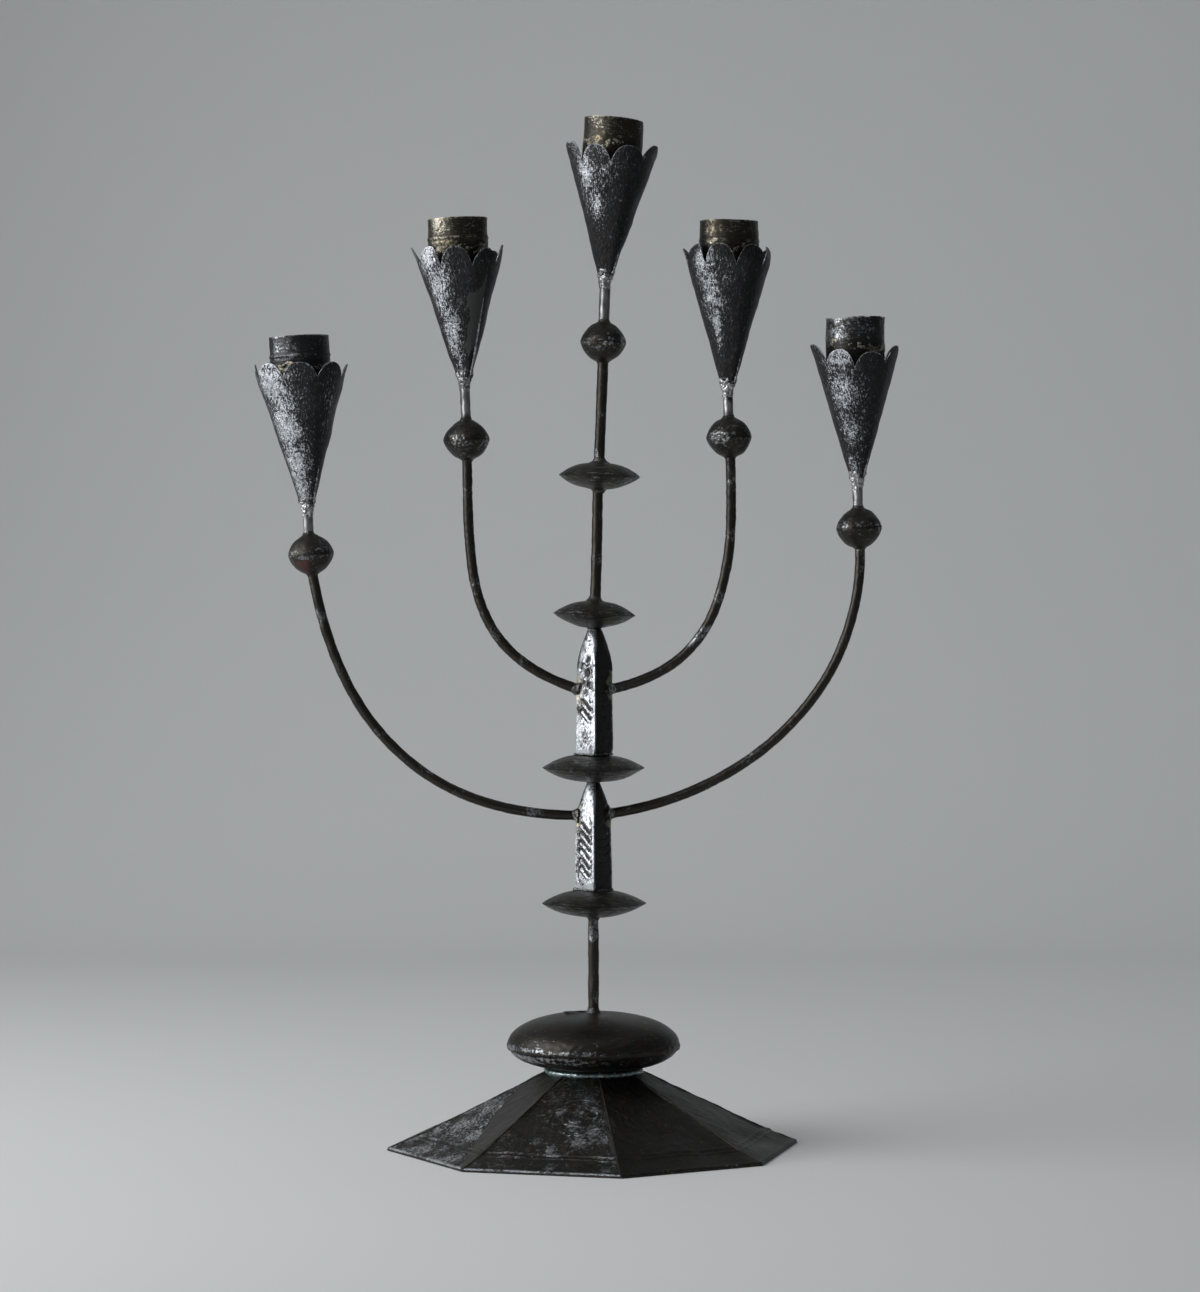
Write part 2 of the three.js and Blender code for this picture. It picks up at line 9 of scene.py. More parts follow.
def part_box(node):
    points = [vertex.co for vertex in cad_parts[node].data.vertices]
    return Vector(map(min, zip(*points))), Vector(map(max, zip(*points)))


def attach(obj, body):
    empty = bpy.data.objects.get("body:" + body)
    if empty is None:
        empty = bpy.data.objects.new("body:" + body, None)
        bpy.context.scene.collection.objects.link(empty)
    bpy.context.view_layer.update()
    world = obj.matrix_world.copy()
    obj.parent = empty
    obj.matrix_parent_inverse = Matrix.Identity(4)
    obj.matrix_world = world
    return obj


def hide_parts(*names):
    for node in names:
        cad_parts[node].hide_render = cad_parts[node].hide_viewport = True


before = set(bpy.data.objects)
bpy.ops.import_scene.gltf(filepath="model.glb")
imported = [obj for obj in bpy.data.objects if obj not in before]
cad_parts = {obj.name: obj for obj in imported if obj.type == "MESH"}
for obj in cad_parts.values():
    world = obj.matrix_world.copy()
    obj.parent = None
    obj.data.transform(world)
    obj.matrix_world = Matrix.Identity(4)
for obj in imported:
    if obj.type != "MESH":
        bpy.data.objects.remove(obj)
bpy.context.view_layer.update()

# Everything below is in millimetres and degrees until addPiece turns it into metres.
# The front looks toward -Y. Turns run from the front toward +X, and leans are positive toward +X.
mm = 0.001
knobLow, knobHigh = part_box("knob_upper_shell")
stemX = (knobLow.x + knobHigh.x) / 2 / mm  # the stem's foot, a little right of the origin


class Value:
    def __init__(self, finish, socket):
        self.finish = finish
        self.socket = socket

    def __add__(self, other):
        return self.finish.math("ADD", self, other)

    def __radd__(self, other):
        return self.finish.math("ADD", other, self)

    def __sub__(self, other):
        return self.finish.math("SUBTRACT", self, other)

    def __rsub__(self, other):
        return self.finish.math("SUBTRACT", other, self)

    def __mul__(self, other):
        return self.finish.math("MULTIPLY", self, other)

    def __rmul__(self, other):
        return self.finish.math("MULTIPLY", other, self)


class Finish:
    def __init__(self, name):
        self.material = bpy.data.materials.new(name)
        self.material.use_nodes = True
        self.tree = self.material.node_tree
        self.tree.nodes.clear()

    def add(self, kind, settings, values, output=0):
        node = self.tree.nodes.new("ShaderNode" + kind)
        for key, setting in settings.items():
            setattr(node, key, setting)
        for key, value in values.items():
            if isinstance(value, Value):
                self.tree.links.new(value.socket, node.inputs[key])
            else:
                node.inputs[key].default_value = value
        return Value(self, node.outputs[output])

    def math(self, operation, first, second):
        return self.add("Math", {"operation": operation}, {0: first, 1: second})

    def blend(self, mask, first, second):
        settings = {"data_type": "RGBA", "clamp_factor": True}
        return self.add("Mix", settings, {0: mask, 6: first, 7: second}, 2)

    def step(self, value, low, high):
        limits = {"Value": value, "From Min": low, "From Max": high}
        return self.add("MapRange", {"interpolation_type": "SMOOTHSTEP"}, limits)

    def mark(self, name):
        return self.add("Attribute", {"attribute_name": name}, {}, 2)

    def places(self):  # the piece's own coordinates in millimetres, shifted so that no two pieces match
        here = self.add("TexCoord", {}, {}, 3)
        scaled = self.add("VectorMath", {"operation": "SCALE"}, {0: here, 3: 1 / mm})
        stride = {0: (37.0, 53.0, 71.0), 3: self.mark("shift")}
        shift = self.add("VectorMath", {"operation": "SCALE"}, stride)
        return self.add("VectorMath", {"operation": "ADD"}, {0: scaled, 1: shift})

    def noise(self, places, size, detail=2.0, rough=0.5, warp=0.0):
        values = {"Vector": places, "Scale": 1 / size, "Detail": detail}
        values.update({"Roughness": rough, "Distortion": warp})
        return self.add("TexNoise", {}, values)

    def stretched(self, places, turn, scale):
        return self.add("Mapping", {}, {"Vector": places, "Rotation": turn, "Scale": scale})

    def finished(self, values):
        return self.shown(self.add("BsdfPrincipled", {}, values))

    def shown(self, shader):
        end = self.tree.nodes.new("ShaderNodeOutputMaterial")
        self.tree.links.new(shader.socket, end.inputs["Surface"])
        return self.material


tinLook = {
    "patina": (0.038, 0.037, 0.035, 1),
    "brown": (0.044, 0.037, 0.029, 1),
    "bare": (0.33, 0.35, 0.375, 1),
    "chalk": (0.36, 0.385, 0.40, 1),
    "rust": (0.13, 0.05, 0.024, 1),
    "film": (0.082, 0.080, 0.076, 1),  # thin solder smeared over the tin
    "bareShare": 0.5,  # how much of the plate shows bright metal, 0 to 1
    "chalkShare": 0.2,
    "rustShare": 0.1,
    "cloudSize": 13.0,
    "cloudy": 0.4,  # how far the bright metal follows the large clouds rather than the crystals
    "spangleSize": 1.2,
    "crinkle": 0.9,  # how far the crystals are distorted
    "grained": 0.3,  # how far the stretched grain breaks up the bright metal
    "streaked": 0.0,  # how far the grain also shows in the patina
    "mottled": 0.0,  # how far the crystals dull the bright metal again
    "crumbSize": 0.8,
    "scratched": 0.0,  # more scratches than the bare share alone gives
    "scratchTurn": (0.0, 0.0, 0.0),
    "scratchScale": (4.0, 0.35, 0.35),
    "roughness": 0.46,
    "bareRoughness": 0.3,
    "bumpDepth": 0.05,
    "grimeColour": (0.017, 0.015, 0.013, 1),
}


def agedTin(name, **changes):
    look = {**tinLook, **changes}
    tin = Finish(name)
    places = tin.places()
    worn = tin.mark("worn")
    grime = tin.mark("grime")
    film = tin.mark("film")
    oxide = tin.mark("oxide")
    cloud = tin.noise(places, look["cloudSize"], 3.0, 0.55, 0.3)
    drift = tin.noise(places, look["cloudSize"] * 0.4, 2.0, 0.5, 0.6)
    spangle = tin.noise(places, look["spangleSize"], 4.0, 0.68, look["crinkle"])
    fleck = tin.noise(places, 0.45, 2.0, 0.6)
    scratchPlaces = tin.stretched(places, look["scratchTurn"], look["scratchScale"])
    grain = tin.noise(scratchPlaces, 1.0, 3.0, 0.6, 0.4)
    scratch = tin.step(grain, 0.60, 0.70)
    # bright metal where the clouds and the crystals meet, on worn edges, at painted highlights and along
    # scratches
    cloudy = look["cloudy"]
    level = cloud * cloudy + spangle * (1 - cloudy) + grain * look["grained"]
    level = level + worn * 0.3 - grime * 0.3
    threshold = 0.71 - 0.3 * look["bareShare"] + 0.5 * look["grained"]
    bare = tin.step(level, threshold - 0.09, threshold + 0.1) * tin.step(fleck, 0.15, 0.5)
    scratchShare = 0.2 + 0.6 * look["bareShare"] + look["scratched"]
    bare = tin.math("MAXIMUM", bare, scratch * scratchShare * tin.step(cloud, 0.35, 0.6))
    bare = tin.math("MAXIMUM", bare, tin.step(worn + fleck * 0.5 + spangle * 0.3, 1.15, 1.5))
    bare = bare * (1 - grime * 0.8) * (1 - film * 0.7)
    # chalky oxide in fine crumbs, also where the oxide mark holds painted highlight, and a little rust
    crumbs = tin.noise(places, look["crumbSize"], 3.0, 0.65, 0.8)
    chalkLevel = 0.81 - 0.3 * look["chalkShare"]
    chalk = tin.step(crumbs + drift * 0.12 + worn * 0.14 + oxide * 0.2, chalkLevel, chalkLevel + 0.08)
    chalk = chalk * (1 - film * 0.85)
    rustSpots = tin.noise(places, 5.0, 4.0, 0.6, 0.7)
    rustLevel = 0.82 - 0.2 * look["rustShare"]
    rust = tin.step(rustSpots + grime * 0.12 + tin.mark("rusty") * 0.4, rustLevel, rustLevel + 0.08)
    tone = drift * (1 - look["streaked"]) + grain * look["streaked"]
    colour = tin.blend(tin.step(tone, 0.35, 0.68), look["patina"], look["brown"])
    colour = tin.blend(film, colour, look["film"])
    bright = bare * (1 - look["mottled"] * (1 - tin.step(spangle, 0.40, 0.58)))
    colour = tin.blend(bright, colour, look["bare"])
    colour = tin.blend(chalk * 0.8, colour, look["chalk"])
    colour = tin.blend(rust * 0.85, colour, look["rust"])
    # grime and painted shade darken the colour
    colour = tin.blend(grime * 0.7, colour, look["grimeColour"])
    dull = tin.math("MAXIMUM", chalk, rust)
    roughness = look["roughness"] + (fleck - 0.5) * 0.2 + (cloud - 0.5) * 0.3
    roughness = roughness - bare * (look["roughness"] - look["bareRoughness"]) + dull * 0.3
    metallic = (0.85 + bare * 0.15) * (1 - dull * 0.8)
    relief = spangle * 0.6 + grain * look["grained"] + fleck * 0.2 - scratch * 0.1 + dull * 0.12
    relief = relief * (1 - film * 0.6)
    bumpValues = {"Strength": 1.0, "Distance": look["bumpDepth"] * mm, "Height": relief}
    normal = tin.add("Bump", {}, bumpValues)
    return tin.finished({
        "Base Color": colour,
        "Metallic": metallic,
        "Roughness": roughness,
        "Normal": normal,
        "Specular IOR Level": 0.35,
    })


finishes = {
    "base": agedTin("baseTin", patina=(0.030, 0.029, 0.028, 1), brown=(0.046, 0.041, 0.034, 1),
                    bareShare=0.2, chalkShare=0.22, rustShare=0.2, cloudSize=15.0, spangleSize=1.3,
                    streaked=0.4, roughness=0.44, scratchScale=(0.5, 0.5, 2.0), bumpDepth=0.5),
    "knob": agedTin("knobTin", patina=(0.030, 0.028, 0.026, 1), brown=(0.037, 0.031, 0.025, 1),
                    bareShare=0.1, chalkShare=0.1, rustShare=0.1, cloudSize=18.0, spangleSize=2.0,
                    roughness=0.42, bareRoughness=0.34, scratchScale=(0.3, 0.3, 2.2), bumpDepth=0.1),
    "disc": agedTin("discTin", patina=(0.026, 0.025, 0.024, 1), brown=(0.062, 0.056, 0.048, 1),
                    bareShare=0.1, chalkShare=0.0, rustShare=0.15, cloudSize=10.0, spangleSize=1.2,
                    roughness=0.42, bareRoughness=0.34, grained=0.6, streaked=0.6, scratched=0.4,
                    scratchScale=(0.2, 0.2, 1.7), bumpDepth=0.2),
    "ball": agedTin("ballTin", patina=(0.028, 0.027, 0.025, 1), brown=(0.046, 0.041, 0.034, 1),
                    bareShare=0.1, chalkShare=0.0, rustShare=0.15, cloudSize=8.0, roughness=0.42,
                    bareRoughness=0.32, streaked=0.25, scratched=0.1, scratchScale=(0.3, 0.3, 1.3),
                    bumpDepth=0.22),
    "rustyBall": agedTin("rustyTin", rust=(0.075, 0.030, 0.026, 1), bareShare=0.1, rustShare=0.3,
                         cloudSize=8.0, roughness=0.46, streaked=0.25, scratched=0.1,
                         scratchScale=(0.3, 0.3, 1.3), bumpDepth=0.22),
    "tower": agedTin("towerTin", patina=(0.055, 0.056, 0.057, 1), brown=(0.050, 0.049, 0.048, 1),
                     bare=(0.52, 0.545, 0.58, 1), film=(0.54, 0.50, 0.40, 1), bareShare=0.62,
                     chalkShare=0.15, rustShare=0.05, cloudSize=9.0, spangleSize=0.9, roughness=0.4,
                     bareRoughness=0.3, scratchScale=(2.4, 2.4, 0.6), bumpDepth=0.2),
    "cone": agedTin("coneTin", patina=(0.022, 0.022, 0.024, 1), brown=(0.046, 0.046, 0.048, 1),
                    bare=(0.66, 0.69, 0.735, 1), film=(0.10, 0.10, 0.097, 1), bareShare=0.08, cloudy=0.1,
                    mottled=0.6, chalkShare=-0.2, rustShare=0.02, cloudSize=15.0, spangleSize=1.3,
                    roughness=0.40, bareRoughness=0.3, crinkle=2.0, grained=0.9, streaked=0.8,
                    scratchTurn=(0.0, 0.6, 0.0), scratchScale=(1.7, 1.7, 0.5), bumpDepth=0.45),
    "rod": agedTin("rodIron", patina=(0.036, 0.034, 0.031, 1), brown=(0.042, 0.035, 0.027, 1),
                   film=(0.36, 0.36, 0.36, 1), bareShare=0.1, chalkShare=0.08, rustShare=0.2,
                   cloudSize=11.0, spangleSize=1.2, roughness=0.38, scratchScale=(2.5, 2.5, 0.3),
                   bumpDepth=0.12),
    "solder": agedTin("solder", patina=(0.095, 0.096, 0.098, 1), brown=(0.070, 0.064, 0.054, 1),
                      bare=(0.56, 0.57, 0.58, 1), chalk=(0.46, 0.45, 0.40, 1), bareShare=0.75,
                      chalkShare=0.4, rustShare=0.12, cloudSize=4.0, spangleSize=0.9, roughness=0.4,
                      bareRoughness=0.24, bumpDepth=0.3),
    "cream": agedTin("creamSolder", patina=(0.12, 0.105, 0.075, 1), brown=(0.075, 0.062, 0.042, 1),
                     bare=(0.52, 0.49, 0.40, 1), chalk=(0.50, 0.46, 0.36, 1), bareShare=0.75,
                     chalkShare=0.6, rustShare=0.12, cloudSize=4.0, spangleSize=0.8, roughness=0.42,
                     bareRoughness=0.26, bumpDepth=0.3),
    "seam": agedTin("seamSolder", patina=(0.036, 0.034, 0.031, 1), brown=(0.050, 0.043, 0.034, 1),
                    bare=(0.26, 0.27, 0.27, 1), bareShare=0.25, chalkShare=0.4, rustShare=0.2,
                    cloudSize=6.0, spangleSize=0.8, roughness=0.45, bumpDepth=0.2),
    "collar": agedTin("collarSolder", patina=(0.12, 0.155, 0.155, 1), brown=(0.08, 0.12, 0.12, 1),
                      bare=(0.40, 0.48, 0.50, 1), chalk=(0.30, 0.44, 0.44, 1), bareShare=0.7,
                      chalkShare=0.6, rustShare=0.9, cloudSize=7.0, spangleSize=0.9, roughness=0.38,
                      bareRoughness=0.24),
    "brass": agedTin("socketBrass", patina=(0.030, 0.028, 0.025, 1), brown=(0.044, 0.036, 0.025, 1),
                     bare=(0.36, 0.34, 0.28, 1), chalk=(0.36, 0.35, 0.30, 1), film=(0.25, 0.22, 0.14, 1),
                     bareShare=0.12, cloudy=0.2, chalkShare=0.15, rustShare=0.05, cloudSize=9.0,
                     spangleSize=1.0, roughness=0.42, bareRoughness=0.28, scratchScale=(0.3, 0.3, 2.4),
                     bumpDepth=0.2),
    "greySocket": agedTin("socketGrey", patina=(0.034, 0.036, 0.040, 1), brown=(0.032, 0.031, 0.030, 1),
                          bareShare=0.16, cloudy=0.2, chalkShare=0.1, rustShare=0.02, cloudSize=9.0,
                          spangleSize=1.0, roughness=0.42, scratchScale=(0.3, 0.3, 2.4), bumpDepth=0.15),
    "silverSocket": agedTin("socketSilver", patina=(0.032, 0.032, 0.033, 1), brown=(0.032, 0.030, 0.027, 1),
                            bare=(0.36, 0.38, 0.40, 1), film=(0.34, 0.32, 0.25, 1), bareShare=0.3,
                            cloudy=0.2, chalkShare=0.25, rustShare=0.05, cloudSize=8.0, spangleSize=1.4,
                            roughness=0.42, scratchScale=(0.3, 0.3, 2.4), bumpDepth=0.2),
}
print("finishes ready")


def ripple(points, size, seed, waves=12):  # smooth unevenness, about -2 to 2
    draw = np.random.default_rng(seed)
    ways = draw.normal(size=(3, waves))
    ways *= 2 * math.pi / size * draw.uniform(0.6, 1.5, waves) / np.linalg.norm(ways, axis=0)
    phases = draw.uniform(0, 2 * math.pi, waves)
    return np.sin(points @ ways + phases).sum(-1) * math.sqrt(2 / waves)


def bump(distance, width):
    return np.exp(-(distance / width) ** 2)


def smooth(value, low, high):
    share = np.clip((value - low) / (high - low), 0, 1)
    return share * share * (3 - 2 * share)


def patchy(points, size, seed, low, high):  # patches, 0 outside them and 1 inside
    return smooth(ripple(points, size, seed), low, high)


def awayFrom(degrees, turn):  # the shorter way round, -180 to 180
    return (degrees - turn + 180) % 360 - 180


def gridFaces(rows, columns, closeRows=True, closeColumns=True):
    row = np.arange(rows if closeRows else rows - 1)[:, None]
    column = np.arange(columns if closeColumns else columns - 1)[None, :]
    rowAbove = (row + 1) % rows
    columnBeside = (column + 1) % columns
    corners = (row * columns + column, row * columns + columnBeside,
               rowAbove * columns + columnBeside, rowAbove * columns + column)
    return np.stack(np.broadcast_arrays(*corners), -1).reshape(-1, 4).tolist()


def sheetFaces(rows, columns):  # a bent sheet, with both its ends closed
    faces = gridFaces(rows, columns, closeColumns=False)
    faces.append([i * columns for i in range(rows)][::-1])
    faces.append([i * columns + columns - 1 for i in range(rows)])
    return faces


patternShifts = 19


# marks are the wear with painted highlights, the grime with painted shade, film of solder, oxide (on the knob
# with painted highlight) and rust that each vertex carries, mostly 0 to 1
def addPiece(name, points, faces, finish, nodes=(), place=None, shift=0.0, crease=42, **marks):
    points = np.asarray(points, float).reshape(-1, 3)
    mesh = bpy.data.meshes.new(name)
    mesh.from_pydata((points * mm).tolist(), [], faces)
    shell = bmesh.new()
    shell.from_mesh(mesh)
    if shell.calc_volume(signed=True) < 0:
        bmesh.ops.reverse_faces(shell, faces=shell.faces)
        shell.to_mesh(mesh)
    shell.free()
    mesh.shade_smooth()
    mesh.set_sharp_from_angle(angle=math.radians(crease))
    marks = {"worn": 0.0, "grime": 0.0, "film": 0.0, "oxide": 0.0, "rusty": 0.0, **marks}
    marks["shift"] = shift % patternShifts
    for key, values in marks.items():
        layer = mesh.attributes.new(key, "FLOAT", "POINT")
        spread = np.broadcast_to(np.ravel(values), points.shape[:1])
        limit = 1 if key in ("worn", "grime", "film") else patternShifts
        layer.data.foreach_set("value", np.clip(spread, 0, limit).astype(np.float32))
    mesh.materials.append(finishes[finish])
    thing = bpy.data.objects.new(name, mesh)
    bpy.context.collection.objects.link(thing)
    if place is not None:
        thing.matrix_world = place
    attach(thing, "root")
    if nodes:
        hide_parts(*nodes)
    return thing


def polar(turn, radius, height):
    turn, radius, height = np.broadcast_arrays(turn, radius, height)
    return np.stack([radius * np.sin(turn), -radius * np.cos(turn), height], -1)


def around(count):
    return np.arange(count) * 2 * math.pi / count


def revolve(outline, columns):
    outline = np.asarray(outline, float)
    return polar(around(columns)[None, :], outline[:, :1], outline[:, 1:])


def lean(degrees, length):
    return np.array([length * math.sin(math.radians(degrees)), 0, length * math.cos(math.radians(degrees))])


def placeAt(point, degrees=0.0):
    spot = Vector([float(x) * mm for x in point])
    return Matrix.Translation(spot) @ Matrix.Rotation(math.radians(degrees), 4, "Y")


class Batch:  # several closed shells kept as one piece
    def __init__(self):
        self.points = []
        self.faces = []
        self.count = 0

    def take(self, points, faces, place=None):
        points = np.asarray(points, float).reshape(-1, 3)
        if place is not None:
            points = points @ np.array(place.to_3x3()).T + np.array(place.translation) / mm
        self.points.append(points)
        self.faces += [[corner + self.count for corner in face] for face in faces]
        self.count += len(points)

    def piece(self, name, finish, **more):
        return addPiece(name, np.concatenate(self.points), self.faces, finish, **more)


def rodShell(path, radius, sides):
    path = np.asarray(path, float)
    way = np.gradient(path, axis=0)
    way /= np.linalg.norm(way, axis=1)[:, None]
    side = np.cross(way, (0.0, 1.0, 0.0))
    turn = around(sides)[None, :, None]
    radius = np.broadcast_to(radius, len(path))[:, None, None]
    ring = np.cos(turn) * side[:, None, :] + np.sin(turn) * np.array([0.0, 1.0, 0.0])
    points = path[:, None, :] + radius * ring
    faces = gridFaces(len(path), sides, closeRows=False)
    faces.append(list(range(sides))[::-1])
    faces.append([(len(path) - 1) * sides + i for i in range(sides)])
    return points, faces


def filletShell(innerRadius, reach, height, seed, spread=0.25, columns=40):
    # a flare of solder round a rod, thick at its foot and thin at its top
    flare = [(reach * 0.62, height * 0.2), (reach * 0.34, height * 0.48), (reach * 0.16, height * 0.78)]
    outline = np.array([(-0.4, -0.35), (reach, -0.35), (reach, 0.05), *flare, (0.06, height), (-0.4, height)])
    points = revolve(outline + (innerRadius, 0), columns)
    swell = 1 + spread * ripple(points, 3.2, seed)
    outward = np.clip(np.linalg.norm(points[..., :2], axis=-1) - innerRadius, 0, None)
    grown = innerRadius + outward * swell
    radius = np.linalg.norm(points[..., :2], axis=-1)
    points[..., :2] *= (np.where(outward > 0, grown, radius) / radius)[..., None]
    points[..., 2] *= 1 + 0.5 * spread * ripple(points, 4.0, seed + 1)
    return points, gridFaces(len(outline), columns)


base = {
    "sides": 8,
    "turn": 7.5,  # of the front corner
    "footRadius": 82.94,  # over the corners, as the other radii here
    "footEdge": 0.9,
    "hemWidth": 4.5,
    "hemFold": 2.1,
    "hipRadius": 69.8,
    "hipHeight": 6.1,
    "topRadius": 20.0,
    "topHeight": 30.2,
    "sheet": 0.7,
    "ridgeSpacing": 2.6,
    "ridgeRise": 0.5,
    # the chased rings, as radius, width and rise
    "rings": ((11.2, 0.55, 0.34), (9.3, 0.4, 0.2), (6.6, 0.5, 0.3), (3.2, 0.5, 0.25)),
    "ringCentre": 42.5,
    "grooveRadius": 10.4,
    "petalRadius": 5.0,
    "petals": 8,
    "dents": 0.26,
    "rows": 190,  # of the mesh, up the outside of a panel
    "columns": 121,
}
# how the eight panels differ, from the front left one toward +X: how clear the chased ring is, how far it
# sits off the middle, solder film along the left and the right seam in mm, how bare the tin is, painted shade
# on the panels turned away from the lamp, and chalky oxide (on the panel facing the lamp partly painted
# highlight)
panelWork = [
    {"chased": 1.0, "offset": 5.2, "film": (0.0, 1.2), "bare": 0.17, "paintedPanelShade": 0.05},
    {"chased": 0.7, "offset": 0.5, "film": (0.8, 1.5), "bare": 0.0, "paintedPanelShade": 0.65},
    {"chased": 0.25, "offset": -1.0, "film": (0.8, 3.0), "bare": 0.0, "paintedPanelShade": 0.85},
    {"chased": 0.8, "offset": 1.5, "film": (2.0, 1.0), "bare": 0.1},
    {"chased": 0.9, "offset": -0.5, "film": (1.0, 3.0), "bare": 0.16},
    {"chased": 0.6, "offset": 1.0, "film": (4.0, 1.5), "bare": 0.1},
    {"chased": 0.8, "offset": -1.5, "film": (2.0, 2.5), "bare": 0.2},
    {"chased": 0.2, "offset": 0.5, "film": (0.6, 22.0), "bare": 0.08, "oxide": 1.0},
]
# leaf shaped chasing on the second panel, as strokes across and up the face
leafStrokes = [((-13.5, 35.0), (-6.0, 47.0)), ((-11.0, 38.0), (-13.0, 45.0)), ((-9.0, 41.0), (-12.0, 50.0)),
               ((-7.5, 44.0), (0.0, 47.5)), ((-10.5, 39.5), (-3.5, 41.5)), ((-6.5, 46.0), (2.0, 52.0))]
# bright flecks on the first panel, across and up the face
flecks = [(-7.5, 57.5), (-1.0, 61.0), (9.0, 57.0), (13.0, 50.0), (2.0, 73.5), (4.0, 46.0), (16.0, 44.0),
          (0.5, 65.5), (7.0, 33.0), (11.0, 38.0), (-3.0, 40.0), (20.0, 55.0), (25.0, 73.5)]
midFace = math.cos(math.pi / base["sides"])
rimSlope = (base["hipHeight"] - base["footEdge"]) / (base["footRadius"] - base["hipRadius"])
skirtSlope = (base["topHeight"] - base["hipHeight"]) / (base["hipRadius"] - base["topRadius"])
sheetDrop = base["sheet"] * math.hypot(1, skirtSlope / midFace)


def skirtHeight(radius):
    slope = np.where(radius > base["hipRadius"], rimSlope, skirtSlope)
    return base["hipHeight"] + slope * (base["hipRadius"] - radius)


def stroke(x, y, start, end, width):  # a groove along a line
    alongX, alongY = end[0] - start[0], end[1] - start[1]
    share = np.clip(((x - start[0]) * alongX + (y - start[1]) * alongY) / (alongX ** 2 + alongY ** 2), 0, 1)
    return bump(np.hypot(x - start[0] - share * alongX, y - start[1] - share * alongY), width)


